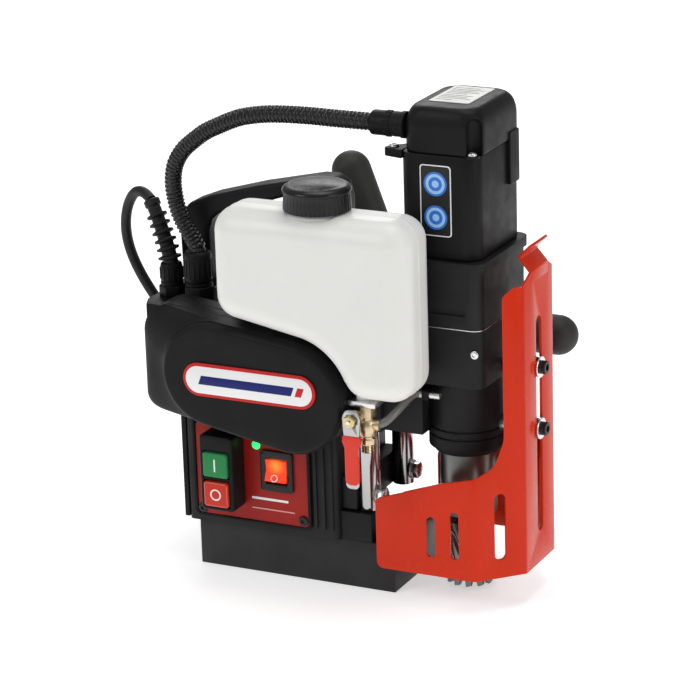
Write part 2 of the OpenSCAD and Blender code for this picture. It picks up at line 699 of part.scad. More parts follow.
module tank_cap() color([0.08, 0.08, 0.08]) difference() {
    union() {
        bar_z([295.2, 315], cap_at, cap_r - 1);
        for (k = [0:23]) translate([cap_at[0], cap_at[1], 295.2]) rotate(15 * k)
            translate([cap_r - 2.5, -1.6, 0]) cube([2.5, 3.2, 17]);
    }
    bar_z([294, 304.4], cap_at, 17 + run_gap);
}

// Bracket behind the tank, and the strap under its outlet
module tank_brackets() color([0.25, 0.25, 0.26]) difference() {
    union() {
        brick([-20, 30], [tank_y[1], tower_y[0]], [206, 231]);
        brick([66, 88], [-82, -62], [156.5, 160.5]);
    }
    bar_z([156, 161], valve_at, 3);
}

module valve_body() color([0.72, 0.55, 0.25]) {
    bar_z([126, 156.5], valve_at, 6);
    bar_z([122, 127], valve_at, 4);
    bar_x([76, 83.8], [-72, 141], 4);
    bar_y([-85.6, -74], lever_at, 5);
    bar_y([-89.4, -85], lever_at, 2.5);
    bar_y([-91.5, -89.3], lever_at, 4.5);
}

module valve_lever() color([0.8, 0.15, 0.1]) difference() {
    along_y([-89, -86]) union() {
        plate([lever_at[0] - 6.5, lever_at[0] + 6.5], [98, 149], 2);
        translate(lever_at) circle(6.5);
    }
    bar_y([-90, -85], lever_at, 2.5 + run_gap);
}

module coolant_hose() color([0.85, 0.85, 0.8]) {
    line = smooth(hose_route, 2);
    tube(line, [for (i = line) 3], 8);
}

module hose_nozzle() color([0.6, 0.6, 0.62]) difference() {
    union() {
        bar_x([104.5, 119], [-38.6, 156], 2.6);
        brick([105, 111], [-42, -20], [152.5, 159.5]);
    }
    bar_z([150, 160], head_at, barrel_r);
}

// ---- Cables ----

module motor_conduit() color([0.12, 0.12, 0.12]) {
    line = smooth(conduit_route, 2);
    tube(line, [for (i = line) conduit_d / 2], 10);
}

module conduit_connector() color([0.1, 0.1, 0.1]) {
    bar_x([66, 88], [-28, 348.5], 8.5);
    translate([86, -28, 348.5]) rotate([0, 90, 0]) cylinder(r = 11, h = 6, $fn = 6);
}

module conduit_gland() color([0.1, 0.1, 0.1]) {
    translate([-84, -18, house_top]) cylinder(r = 12, h = 14, $fn = 6);
    bar_z([house_top + 14, 236], [-84, -18], 10);
}

module cord_gland() color([0.1, 0.1, 0.1]) {
    bar_z([192, house_top + 1], [-110, -12], 6);
    translate([-110, -12, house_top]) rotate(30) cylinder(r = 10, h = 9, $fn = 6);
    bar_z([house_top + 8, 226], [-110, -12], 8.2);
}

module strain_relief() color([0.09, 0.09, 0.09]) {
    line = smooth(relief_route, 2);
    tube(line, [for (i = [0:len(line) - 1]) 7.5 - 1.5 * i / (len(line) - 1)], 10);
}

module power_cord() color([0.09, 0.09, 0.09]) {
    line = smooth(cord_route, 2);
    tube(line, [for (i = line) cord_r], 10);
    tail = smooth(tail_route, 2);
    tube(tail, [for (i = tail) cord_r], 10);
}

module cord_coil() color([0.09, 0.09, 0.09]) translate([coil_at[0], coil_at[1], 0])
    rotate_extrude() plate(coil_r, [0, coil_h], 4);

// Two-pin plug lying on its side, with its own short strain relief
module cord_plug() color([0.08, 0.08, 0.08]) {
    translate([-54, 62, plug_r]) rotate([0, 90, 0]) cylinder(r1 = 5.5, r2 = 8.5, h = 17);
    translate([-37, 62, plug_r]) rotate([0, 90, 0]) cylinder(r1 = 10, r2 = plug_r, h = 12);
    bar_x([-25, -2], [62, plug_r], plug_r);
    for (y = [52.5, 71.5]) bar_x([-3, 17], [y, plug_r], 2.4);
}

magnet_base();
magnet_coils();
body_housing();
rear_cover();
control_panel();
case_screws();
switch_box();
start_button();
stop_button();
rocker_frame();
rocker_switch();
led_lens();
feed_cover_rear();
feed_cover_front();
badge_plate();
carry_handle();
feed_motor();
feed_pinion();
control_board();
guide_rods();
lower_rod_block();
upper_rod_block();
coolant_tank();
tank_cap();
tank_brackets();
valve_body();
valve_lever();
coolant_hose();
hose_nozzle();
carriage();
rod_bushings();
feed_rack();
gearbox_housing();
gearbox_cover();
motor_housing();
motor_cap();
drive_screws();
motor_stator();
motor_armature();
shaft_bearings();
countershaft();
spindle();
cutter();
pilot_pin();
head_labels();
guard();
guard_mounts();
guard_screws();
motor_conduit();
conduit_connector();
conduit_gland();
cord_gland();
strain_relief();
power_cord();
cord_coil();
cord_plug();
capstan_hub();
capstan_spokes();
capstan_grips();
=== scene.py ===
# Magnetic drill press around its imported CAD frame. Metres; helper lengths are in millimetres.
import json
import math

import bmesh
import bpy
from mathutils import Matrix, Vector

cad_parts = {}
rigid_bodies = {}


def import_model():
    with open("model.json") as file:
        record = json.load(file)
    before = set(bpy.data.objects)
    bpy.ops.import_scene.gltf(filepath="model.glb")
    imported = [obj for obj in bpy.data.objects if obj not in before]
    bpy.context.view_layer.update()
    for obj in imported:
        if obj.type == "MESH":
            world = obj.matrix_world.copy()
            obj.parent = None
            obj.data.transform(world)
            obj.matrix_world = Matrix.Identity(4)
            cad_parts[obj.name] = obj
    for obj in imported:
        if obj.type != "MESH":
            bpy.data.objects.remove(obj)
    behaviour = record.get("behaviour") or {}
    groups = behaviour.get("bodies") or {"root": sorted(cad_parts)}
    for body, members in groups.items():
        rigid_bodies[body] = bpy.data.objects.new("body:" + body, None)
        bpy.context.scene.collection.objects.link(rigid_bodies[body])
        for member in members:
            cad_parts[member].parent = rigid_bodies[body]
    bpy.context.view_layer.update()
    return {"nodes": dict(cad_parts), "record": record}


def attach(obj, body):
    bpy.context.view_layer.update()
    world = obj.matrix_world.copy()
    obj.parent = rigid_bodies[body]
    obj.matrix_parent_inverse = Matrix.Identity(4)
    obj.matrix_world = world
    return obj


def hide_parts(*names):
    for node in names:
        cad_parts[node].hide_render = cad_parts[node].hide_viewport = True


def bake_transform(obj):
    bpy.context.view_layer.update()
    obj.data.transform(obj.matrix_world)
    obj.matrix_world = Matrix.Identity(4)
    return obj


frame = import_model()
nodes = frame["nodes"]
MM = 0.001
TAU = 2 * math.pi


# ---------------------------------------------------------------- camera, light and floor

def camera():
    turn, rise, roll = math.radians(26.47), math.radians(18.3), math.radians(-1.73)
    right = Vector((math.cos(turn), math.sin(turn), 0))
    up = Vector((-math.sin(turn) * math.sin(rise), math.cos(turn) * math.sin(rise), math.cos(rise)))
    back = Vector((math.sin(turn) * math.cos(rise), -math.cos(turn) * math.cos(rise), math.sin(rise)))
    x = right * math.cos(roll) + up * math.sin(roll)
    y = up * math.cos(roll) - right * math.sin(roll)
    data = bpy.data.cameras.new("camera")
    data.sensor_width = 36
    data.lens = 160.9
    cam = bpy.data.objects.new("camera", data)
    facing = Matrix((x, y, back)).transposed().to_4x4()
    cam.matrix_world = Matrix.Translation((0.99267, -1.93512, 0.88265)) @ facing
    bpy.context.scene.collection.objects.link(cam)
    bpy.context.scene.camera = cam


def area(name, at, target, size, power, colour=(1, 1, 1)):
    data = bpy.data.lights.new(name, "AREA")
    data.shape = "RECTANGLE"
    data.size, data.size_y = size
    data.energy = power
    data.color = colour
    lamp = bpy.data.objects.new(name, data)
    lamp.location = at
    lamp.rotation_euler = (Vector(at) - Vector(target)).to_track_quat("Z", "Y").to_euler()
    bpy.context.scene.collection.objects.link(lamp)


def studio():
    world = bpy.data.worlds.new("studio")
    bpy.context.scene.world = world
    world.use_nodes = True
    world.node_tree.nodes["Background"].inputs[0].default_value = (1, 1, 1, 1)
    world.node_tree.nodes["Background"].inputs[1].default_value = 0.34
    middle = (0.03, -0.02, 0.2)
    area("key", (-1.3, -1.9, 1.9), middle, (1.2, 1.2), 17)
    area("side", (2.3, -0.5, 1.1), middle, (0.9, 1.5), 10)
    area("top", (0.1, 0.2, 2.3), middle, (1.6, 1.2), 19)
    area("rim", (-0.9, 1.8, 1.3), middle, (1.2, 0.8), 9)
    scene = bpy.context.scene
    scene.view_settings.view_transform = "Standard"
    bpy.ops.mesh.primitive_plane_add(size=16, location=(0, 0, 0))
    floor = bpy.context.object
    floor.name = "floor"
    m = bpy.data.materials.new("floor")
    m.use_nodes = True
    bsdf = m.node_tree.nodes["Principled BSDF"]
    bsdf.inputs["Base Color"].default_value = (0.93, 0.93, 0.93, 1)
    bsdf.inputs["Roughness"].default_value = 0.9
    bsdf.inputs["Specular IOR Level"].default_value = 0.1
    bsdf.inputs["Emission Color"].default_value = (1, 1, 1, 1)
    bsdf.inputs["Emission Strength"].default_value = 0.5
    floor.data.materials.append(m)


camera()
studio()


# ---------------------------------------------------------------- materials

def material(name, colour, rough=0.5, metal=0.0, spec=0.5, coat=0.0, coat_rough=0.1, tint=0.08, tint_scale=25,
             rough_var=0.08, rough_scale=60, grain=0.0, grain_scale=1200, grain_depth=0.1, emit=None,
             sss=0.0, sss_radius=4, turned=None, clear=0.0, smudge=0.0):
    """A Principled material whose colour, roughness and surface vary from place to place.

    Scales are per metre, and grain_depth and sss_radius are in millimetres. turned is the scale of the fine
    lines that a lathe leaves.
    """
    m = bpy.data.materials.new(name)
    m.use_nodes = True
    nt = m.node_tree
    bsdf = nt.nodes["Principled BSDF"]
    put = bsdf.inputs
    for socket, value in (("Metallic", metal), ("Specular IOR Level", spec), ("Coat Weight", coat),
                          ("Coat Roughness", coat_rough), ("Transmission Weight", clear)):
        put[socket].default_value = value
    if sss:
        put["Subsurface Weight"].default_value = sss
        put["Subsurface Radius"].default_value = (1.0, 0.95, 0.85)
        put["Subsurface Scale"].default_value = sss_radius * MM
    if emit:
        put["Emission Color"].default_value = (*emit[0], 1)
        put["Emission Strength"].default_value = emit[1]
    where = nt.nodes.new("ShaderNodeTexCoord")

    def noise(scale, detail=4.0, roughness=0.55):
        n = nt.nodes.new("ShaderNodeTexNoise")
        n.inputs["Scale"].default_value = scale
        n.inputs["Detail"].default_value = detail
        n.inputs["Roughness"].default_value = roughness
        nt.links.new(where.outputs["Object"], n.inputs["Vector"])
        return n

    broad = noise(tint_scale)
    ramp = nt.nodes.new("ShaderNodeValToRGB")
    ramp.color_ramp.elements[0].position = 0.3
    ramp.color_ramp.elements[1].position = 0.7
    ramp.color_ramp.elements[0].color = (*[c * (1 - tint) for c in colour], 1)
    ramp.color_ramp.elements[1].color = (*[min(1, c * (1 + tint) + smudge) for c in colour], 1)
    nt.links.new(broad.outputs["Fac"], ramp.inputs["Fac"])
    nt.links.new(ramp.outputs["Color"], put["Base Color"])
    patches = noise(rough_scale, 6.0, 0.6)
    spread = nt.nodes.new("ShaderNodeMapRange")
    spread.inputs["From Min"].default_value = 0.3
    spread.inputs["From Max"].default_value = 0.7
    spread.inputs["To Min"].default_value = max(0.02, rough - rough_var)
    spread.inputs["To Max"].default_value = min(1, rough + rough_var)
    nt.links.new(patches.outputs["Fac"], spread.inputs["Value"])
    nt.links.new(spread.outputs["Result"], put["Roughness"])
    if grain:
        bump = nt.nodes.new("ShaderNodeBump")
        bump.inputs["Strength"].default_value = grain
        bump.inputs["Distance"].default_value = grain_depth * MM
        if turned:
            w = nt.nodes.new("ShaderNodeTexWave")
            w.bands_direction = "Z"
            w.inputs["Scale"].default_value = turned
            w.inputs["Distortion"].default_value = 1.5
            w.inputs["Detail"].default_value = 2
            nt.links.new(where.outputs["Object"], w.inputs["Vector"])
            nt.links.new(w.outputs["Fac"], bump.inputs["Height"])
        else:
            fine = noise(grain_scale, 3.0, 0.6)
            nt.links.new(fine.outputs["Fac"], bump.inputs["Height"])
        nt.links.new(bump.outputs["Normal"], put["Normal"])
    return m


MAT = {
    "cast": material("powder_coated_casting", (0.011, 0.011, 0.0115), rough=0.5, spec=0.2, grain=0.35,
        grain_scale=1500, grain_depth=0.12, tint=0.25, smudge=0.002),
    "plastic": material("moulded_black_plastic", (0.0085, 0.0085, 0.009), rough=0.44, spec=0.13, grain=0.22,
        grain_scale=2400, grain_depth=0.06, tint=0.2),
    "smooth": material("smooth_black_plastic", (0.009, 0.009, 0.009), rough=0.26, spec=0.28, grain=0.06,
        grain_scale=500, grain_depth=0.05, tint=0.2),
    "magnet": material("magnet_black_paint", (0.0135, 0.0135, 0.014), rough=0.4, spec=0.28, grain=0.12,
        grain_scale=700, grain_depth=0.1, tint=0.3, smudge=0.003),
    "rubber": material("black_rubber", (0.011, 0.011, 0.0105), rough=0.5, spec=0.28, grain=0.15,
        grain_scale=1800, grain_depth=0.05, tint=0.2),
    "conduit": material("conduit_nylon", (0.009, 0.009, 0.009), rough=0.28, spec=0.42, tint=0.2),
    "tank": material("tank_polyethylene", (0.80, 0.80, 0.765), rough=0.34, spec=0.4, sss=0.35, sss_radius=7,
        tint=0.02, grain=0.08, grain_scale=260, grain_depth=0.15, rough_var=0.05),
    "cap": material("ribbed_cap_plastic", (0.011, 0.011, 0.011), rough=0.3, spec=0.3, grain=0.1,
        grain_scale=1500, grain_depth=0.05, tint=0.2),
    "guard": material("guard_enamel", (0.62, 0.029, 0.005), rough=0.24, spec=0.12, coat=0.07, coat_rough=0.05,
        grain=0.03, grain_scale=260, grain_depth=0.04, tint=0.03),
    "panel": material("panel_red_film", (0.33, 0.012, 0.008), rough=0.36, spec=0.2, tint=0.1, grain=0.05,
        grain_scale=900, grain_depth=0.03),
    "chrome": material("hard_chrome", (0.5, 0.5, 0.5), rough=0.12, metal=1, rough_var=0.04, rough_scale=200,
        tint=0.03, turned=400, grain=0.02, grain_depth=0.02),
    "steel": material("turned_steel", (0.5, 0.5, 0.51), rough=0.3, metal=1, rough_var=0.1, tint=0.1,
        turned=500, grain=0.08, grain_depth=0.03),
    "nose": material("phosphated_steel", (0.22, 0.23, 0.22), rough=0.38, metal=1, rough_var=0.1, tint=0.12,
        turned=420, grain=0.1, grain_depth=0.03),
    "cutter": material("cutter_steel", (0.17, 0.17, 0.17), rough=0.26, metal=1, rough_var=0.1, tint=0.15,
        turned=700, grain=0.06, grain_depth=0.02),
    "dark_steel": material("oiled_tool_steel", (0.16, 0.16, 0.165), rough=0.3, metal=1, rough_var=0.12,
        tint=0.2, grain=0.1, grain_scale=900, grain_depth=0.04),
    "zinc": material("zinc_plate", (0.72, 0.72, 0.72), rough=0.26, metal=1, rough_var=0.1, tint=0.08,
        grain=0.06, grain_scale=900, grain_depth=0.03),
    "black_screw": material("black_oxide", (0.03, 0.03, 0.03), rough=0.4, metal=0.8, tint=0.2, grain=0.1,
        grain_scale=1500, grain_depth=0.03),
    "brass": material("plated_brass", (0.62, 0.5, 0.32), rough=0.28, metal=1, rough_var=0.12, tint=0.14,
        grain=0.15, grain_scale=600, grain_depth=0.06),
    "yellow_brass": material("yellow_brass", (0.6, 0.49, 0.24), rough=0.25, metal=1, rough_var=0.1, tint=0.1),
    "lever": material("lever_vinyl", (0.72, 0.028, 0.008), rough=0.3, spec=0.25, tint=0.06, grain=0.06,
        grain_scale=500, grain_depth=0.05, coat=0.3),
    "green": material("green_button", (0.015, 0.22, 0.06), rough=0.3, spec=0.25, tint=0.06),
    "red": material("red_button", (0.55, 0.028, 0.014), rough=0.3, spec=0.25, tint=0.06),
    "white": material("white_print", (0.85, 0.85, 0.85), rough=0.4, tint=0.02),
    "red_print": material("red_print", (0.55, 0.012, 0.01), rough=0.3, spec=0.25, tint=0.04),
    "blue": material("blue_print", (0.02, 0.16, 0.62), rough=0.3, tint=0.06),
    "light_blue": material("light_blue_print", (0.32, 0.58, 0.92), rough=0.3, tint=0.06),
    "navy": material("navy_print", (0.008, 0.014, 0.14), rough=0.3, spec=0.2, tint=0.06),
    "silver_label": material("silver_label", (0.52, 0.52, 0.49), rough=0.36, metal=0.35, tint=0.06,
        tint_scale=90),
    "grey_print": material("grey_print", (0.12, 0.12, 0.12), rough=0.4, tint=0.05),
    "led": material("led_lens", (0.02, 0.7, 0.25), rough=0.2, emit=((0.02, 1.0, 0.12), 1.7), tint=0.04),
    "hose": material("clear_vinyl", (0.3, 0.3, 0.27), rough=0.14, spec=0.5, clear=0.5, tint=0.04),
    "copper": material("copper_winding", (0.45, 0.2, 0.09), rough=0.4, metal=0.6, tint=0.2, turned=900,
        grain=0.3, grain_depth=0.1),
    "grip": material("hand_grip_rubber", (0.026, 0.026, 0.022), rough=0.55, spec=0.3, grain=0.1,
        grain_scale=1400, grain_depth=0.04, tint=0.15),
    "rocker": material("lit_rocker", (0.75, 0.05, 0.008), rough=0.25, spec=0.3, tint=0.05,
        emit=((1.0, 0.09, 0.012), 0.5)),
    "board": material("circuit_board", (0.02, 0.13, 0.06), rough=0.35, tint=0.2, tint_scale=150),
    "stop_edge": material("stop_button_edge", (0.75, 0.2, 0.13), rough=0.2, tint=0.05),
    "light_red": material("light_red_print", (0.7, 0.3, 0.27), rough=0.4, tint=0.05),
}


def glow(m, centre, reach, colour, strength):
    """A lamp behind a moulding: it shines most at one point and fades with distance from it."""
    nt = m.node_tree
    bsdf = nt.nodes["Principled BSDF"]
    where = nt.nodes.new("ShaderNodeTexCoord")
    gap = nt.nodes.new("ShaderNodeVectorMath")
    gap.operation = "DISTANCE"
    gap.inputs[1].default_value = [c * MM for c in centre]
    nt.links.new(where.outputs["Object"], gap.inputs[0])
    ramp = nt.nodes.new("ShaderNodeValToRGB")
    ramp.color_ramp.interpolation = "EASE"
    ramp.color_ramp.elements[0].color = (*[c * strength for c in colour], 1)
    ramp.color_ramp.elements[1].color = (0.42, 0.022, 0.003, 1)
    span = nt.nodes.new("ShaderNodeMapRange")
    span.inputs["From Max"].default_value = reach * MM
    nt.links.new(gap.outputs["Value"], span.inputs["Value"])
    nt.links.new(span.outputs["Result"], ramp.inputs["Fac"])
    nt.links.new(ramp.outputs["Color"], bsdf.inputs["Emission Color"])
    bsdf.inputs["Emission Strength"].default_value = 1


glow(MAT["rocker"], (-9.0, -50.3, 89.5), 8, (1.0, 0.28, 0.02), 1.0)

LOOKS = {
    "magnet": "magnet_base",
    "copper": "magnet_coils motor_armature",
    "cast": "body_housing lower_rod_block upper_rod_block carriage gearbox_housing gearbox_cover",
    "plastic": "rear_cover switch_box feed_cover_rear feed_cover_front carry_handle motor_housing "
               "motor_cap conduit_connector conduit_gland cord_gland",
    "panel": "control_panel",
    "zinc": "case_screws tank_brackets hose_nozzle drive_screws pilot_pin guard_mounts capstan_spokes",
    "green": "start_button",
    "red": "stop_button",
    "smooth": "rocker_frame",
    "rocker": "rocker_switch",
    "led": "led_lens",
    "white": "badge_plate",
    "dark_steel": "feed_motor motor_stator",
    "steel": "feed_pinion feed_rack shaft_bearings countershaft",
    "board": "control_board",
    "chrome": "guide_rods",
    "tank": "coolant_tank",
    "cap": "tank_cap",
    "brass": "valve_body rod_bushings",
    "lever": "valve_lever",
    "hose": "coolant_hose",
    "nose": "spindle capstan_hub",
    "cutter": "cutter",
    "silver_label": "head_labels",
    "guard": "guard",
    "black_screw": "guard_screws",
    "conduit": "motor_conduit",
    "rubber": "strain_relief power_cord cord_coil cord_plug",
    "grip": "capstan_grips",
}
for look, names in LOOKS.items():
    for name in names.split():
        slots = nodes[name].data.materials
        slots.clear()
        slots.append(MAT[look])


# ---------------------------------------------------------------- mesh helpers

made = []


def group(name, node=None, body=None):
    """Joins what was made since the last group into one piece. It stands for a CAD node, if one is given."""
    members = [bpy.data.objects[n] for n in dict.fromkeys(made) if n in bpy.data.objects]
    made.clear()
    first = members[0]
    if len(members) > 1:
        with bpy.context.temp_override(active_object=first, object=first, selected_objects=members,
                                       selected_editable_objects=members):
            bpy.ops.object.join()
    first.name = name
    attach(first, body or body_of[node])
    if node:
        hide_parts(node)
    return first


def bending(tube, node):
    """Bakes a tube's placement into its mesh, drops it from the pieces waiting to be grouped and hides the
    CAD node it stands for.
    """
    made.clear()
    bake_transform(tube)
    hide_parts(node)


def edit(mesh, *steps):
    """Runs bmesh steps on a mesh."""
    bm = bmesh.new()
    bm.from_mesh(mesh)
    for step in steps:
        step(bm)
    bm.to_mesh(mesh)
    bm.free()


def outward(bm):
    bmesh.ops.recalc_face_normals(bm, faces=bm.faces)


def piece(name, verts, faces, look):
    """A new mesh piece from coordinates in millimetres."""
    mesh = bpy.data.meshes.new(name)
    mesh.from_pydata([Vector(v) * MM for v in verts], [], faces)
    mesh.materials.append(MAT[look])
    obj = bpy.data.objects.new(name, mesh)
    bpy.context.scene.collection.objects.link(obj)
    edit(mesh, outward)
    made.append(obj.name)
    return obj


def apply_modifiers(obj):
    graph = bpy.context.evaluated_depsgraph_get()
    mesh = bpy.data.meshes.new_from_object(obj.evaluated_get(graph))
    obj.modifiers.clear()
    obj.data = mesh
    return obj


def sharp_by_angle(obj, degrees=38):
    """Smooth shading with creases left sharp."""
    def crease(bm):
        for f in bm.faces:
            f.smooth = True
        for e in bm.edges:
            e.smooth = len(e.link_faces) == 2 and e.calc_face_angle(0) < math.radians(degrees)

    edit(obj.data, crease)
    return obj


def bevelled(obj, width, segments=3, degrees=33):
    mod = obj.modifiers.new("bevel", "BEVEL")
    mod.width = width * MM
    mod.segments = segments
    mod.limit_method = "ANGLE"
    mod.angle_limit = math.radians(degrees)
    apply_modifiers(obj)
    return sharp_by_angle(obj)


def soften(node, width, segments):
    """Stands for a CAD node: the same shape with its sharp edges broken, as on a casting or moulding."""
    mesh = nodes[node].data.copy()
    obj = bpy.data.objects.new(node + "_soft", mesh)
    bpy.context.scene.collection.objects.link(obj)
    edit(mesh, lambda bm: bmesh.ops.remove_doubles(bm, verts=bm.verts, dist=0.02 * MM),
         lambda bm: bmesh.ops.dissolve_limit(bm, angle_limit=math.radians(0.6), verts=bm.verts,
                                             edges=bm.edges))
    bevelled(obj, width, segments)
    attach(obj, body_of[node])
    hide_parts(node)


# Axes and faces of the CAD model that several pieces share, in millimetres.
SPINDLE_X = 122
CAP_AT = (43, -72)
VALVE_AT = (76.5, -72)
LEVER_AT = (72, 148)
GUARD_FACE = 178
CONDUIT_EXIT = (-84, -18)
CORD_EXIT = (-110, -12)
CONDUIT_END = (-28, 348.5)

body_of = {n: b for b, members in frame["record"]["behaviour"]["bodies"].items() for n in members}


def grid_faces(rows, cols, closed=True):
    wrap = cols if closed else cols - 1
    return [(r * cols + c, r * cols + (c + 1) % cols, (r + 1) * cols + (c + 1) % cols, (r + 1) * cols + c)
            for r in range(rows - 1) for c in range(wrap)]


def weld(obj, gap, close=False):
    """Joins points nearer than the gap in millimetres and, if asked, closes open ends."""
    def join(bm):
        bmesh.ops.remove_doubles(bm, verts=bm.verts, dist=gap * MM)
        bmesh.ops.dissolve_degenerate(bm, dist=gap * MM, edges=bm.edges)
        if close:
            bmesh.ops.holes_fill(bm, edges=[e for e in bm.edges if e.is_boundary], sides=0)

    edit(obj.data, join, outward)


def lathe(name, profile, at, look, axis="Z", n=64, degrees=38):
    """Turned piece: profile is (radius, height) pairs along the axis, from the point at."""
    verts = []
    for r, h in profile:
        for k in range(n):
            a = TAU * k / n
            u, v = r * math.cos(a), r * math.sin(a)
            verts.append({"Z": (at[0] + u, at[1] + v, at[2] + h), "X": (at[0] + h, at[1] + u, at[2] + v),
                          "Y": (at[0] + u, at[1] + h, at[2] + v)}[axis])
    obj = piece(name, verts, grid_faces(len(profile), n), look)
    weld(obj, 0.005, True)
    return sharp_by_angle(obj, degrees)


def prism(name, outline, z, look, axis="Z", bevel=0.0, segments=3, degrees=33):
    """Outline extruded along an axis from z[0] to z[1]: in (x, y) for Z, (x, z) for Y and (y, z) for X."""
    place = {"Z": lambda p, h: (p[0], p[1], h), "Y": lambda p, h: (p[0], h, p[1]),
             "X": lambda p, h: (h, p[0], p[1])}
    n = len(outline)
    verts = [place[axis](p, h) for h in z for p in outline]
    faces = [tuple(range(n)), tuple(range(2 * n - 1, n - 1, -1))]
    faces += [(k, (k + 1) % n, n + (k + 1) % n, n + k) for k in range(n)]
    obj = piece(name, verts, faces, look)
    if bevel:
        return bevelled(obj, bevel, segments, degrees)
    return sharp_by_angle(obj)


def round_rect(x0, x1, y0, y1, r, n=6):
    pts = []
    for cx, cy, a in ((x1 - r, y1 - r, 0), (x0 + r, y1 - r, 90), (x0 + r, y0 + r, 180),
                      (x1 - r, y0 + r, 270)):
        pts += [(cx + r * math.cos(math.radians(a + 90 * k / n)),
                 cy + r * math.sin(math.radians(a + 90 * k / n))) for k in range(n + 1)]
    return pts


def circle(cx, cy, r, n=32, start=0.0):
    return [(cx + r * math.cos(TAU * k / n + start),
             cy + r * math.sin(TAU * k / n + start)) for k in range(n)]


def end_faces(count, n):
    return [tuple(range(n)), tuple(range(count - 1, count - n - 1, -1))]


def stack(name, rings, look, degrees=38, caps=True):
    """Skin over rings of points that all have the same count; the end rings are closed."""
    n = len(rings[0])
    verts = [p for ring in rings for p in ring]
    faces = grid_faces(len(rings), n)
    if caps:
        faces += end_faces(len(verts), n)
    obj = piece(name, verts, faces, look)
    weld(obj, 0.01)
    return sharp_by_angle(obj, degrees)


def cut(obj, *cutters, operation="DIFFERENCE"):
    for c in cutters:
        mod = obj.modifiers.new("cut", "BOOLEAN")
        mod.operation = operation
        mod.solver = "EXACT"
        mod.object = c
        apply_modifiers(obj)
        bpy.data.objects.remove(c)
    return obj


def smooth_route(route, n):
    """The CAD route's own curve, with n points for each stretch."""
    p = [Vector(q) for q in route]
    out = []
    for i in range(len(p) - 1):
        a, b, c, d = p[max(i - 1, 0)], p[i], p[i + 1], p[min(i + 2, len(p) - 1)]
        for k in range(n):
            t = k / n
            out.append(0.5 * (2 * b + (c - a) * t + (2 * a - 5 * b + 4 * c - d) * t * t
                              + (3 * b - a - 3 * c + d) * t ** 3))
    return out + [p[-1]]


def resample(points, step):
    """Points at equal distances along a polyline."""
    out, left = [points[0].copy()], step
    for a, b in zip(points, points[1:]):
        length = (b - a).length
        at = 0.0
        while length - at > left:
            at += left
            out.append(a.lerp(b, at / length))
            left = step
        left -= length - at
    out.append(points[-1].copy())
    return out


def sweep(name, points, radius, look, n, degrees):
    """Tube through the points, carried along without twist; radius(i, k) is for point i and side k."""
    verts, u = [], Vector((0, 1, 0.1))
    for i, p in enumerate(points):
        t = (points[min(i + 1, len(points) - 1)] - points[max(i - 1, 0)]).normalized()
        u = (u - u.dot(t) * t).normalized()
        v = t.cross(u)
        for k in range(n):
            a = TAU * k / n
            verts.append(p + radius(i, k) * (math.cos(a) * u + math.sin(a) * v))
    faces = grid_faces(len(points), n) + end_faces(len(verts), n)
    return sharp_by_angle(piece(name, verts, faces, look), degrees)


# ---------------------------------------------------------------- power cord

RELIEF_ROUTE = [(-110, -12, 222), (-112.5, -11, 232), (-116.5, -9.2, 242), (-121, -7.2, 251.5),
                (-125.5, -5.2, 260), (-129.5, -3.3, 267)]
CORD_ROUTE = [(-129.5, -3.3, 267), (-135.5, -0.5, 271), (-143, 3, 271.5),
              (-150.5, 6.5, 267), (-157.5, 10, 257), (-162, 13, 244), (-163.5, 16, 230), (-161.5, 18, 217),
              (-157.5, 20.5, 204), (-151.5, 23, 191), (-144.5, 26, 178), (-137.5, 29, 164.5),
              (-130, 32.5, 151), (-122, 36, 138), (-114.5, 39.5, 124), (-109.5, 42, 108), (-107.5, 43.5, 90),
              (-107, 44, 70), (-107, 44, 52), (-107, 44, 36), (-104.8, 45, 23.8), (-98.5, 48, 13.5),
              (-89, 52.4, 6.6), (-78, 57.5, 4.2)]
TAIL_ROUTE = [(-92, 53.2, 27.5), (-84, 54.2, 26.2), (-76, 56.5, 24), (-70, 59, 21.6), (-65, 61, 19.2),
              (-60, 62, 17.6), (-50, 62, 17)]
CORD_D = 8
COIL_AT = (-100, 105.5)


def coil_points():
    """Four layers, wound in and out again: it starts beside the cord's landing and ends under the tail."""
    start, turns, per = math.radians(-65.4), 8.93, 16
    steps = int(turns * per)
    out = []
    for i in range(1, steps + 1):
        share = i / steps * 4
        layer = min(3, int(share))
        part = share - layer
        inward = part if layer % 2 == 0 else 1 - part
        radius = 53.3 - 18.6 * inward
        lift = 0.5 - 0.5 * math.cos(math.pi * min(1.0, max(0.0, (part - 0.94) / 0.06)))
        height = 4.05 + 8.0 * (layer + (lift if layer < 3 else 0))
        a = start + TAU * turns * i / steps
        out.append(Vector((COIL_AT[0] + radius * math.cos(a), COIL_AT[1] + radius * math.sin(a), height)))
    return out


def power_cord():
    points = smooth_route(CORD_ROUTE, 1)[:-1] + coil_points() + [Vector(p) for p in TAIL_ROUTE[1:]]
    curve = bpy.data.curves.new("mains_lead", "CURVE")
    curve.dimensions = "3D"
    curve.bevel_depth = CORD_D / 2 * MM
    curve.bevel_resolution = 5
    curve.resolution_u = 4
    curve.use_fill_caps = True
    spline = curve.splines.new("NURBS")
    spline.points.add(len(points) - 1)
    for slot, p in zip(spline.points, points):
        slot.co = (*(p * MM), 1)
    spline.order_u = 4
    spline.use_endpoint_u = True
    curve.materials.append(MAT["rubber"])
    cord = bpy.data.objects.new("mains_lead", curve)
    bpy.context.scene.collection.objects.link(cord)
    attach(cord, "frame")
    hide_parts("power_cord", "cord_coil")
    length = sum((b - a).length for a, b in zip(points, points[1:])) * MM
    return cord, length


lead, lead_length = power_cord()


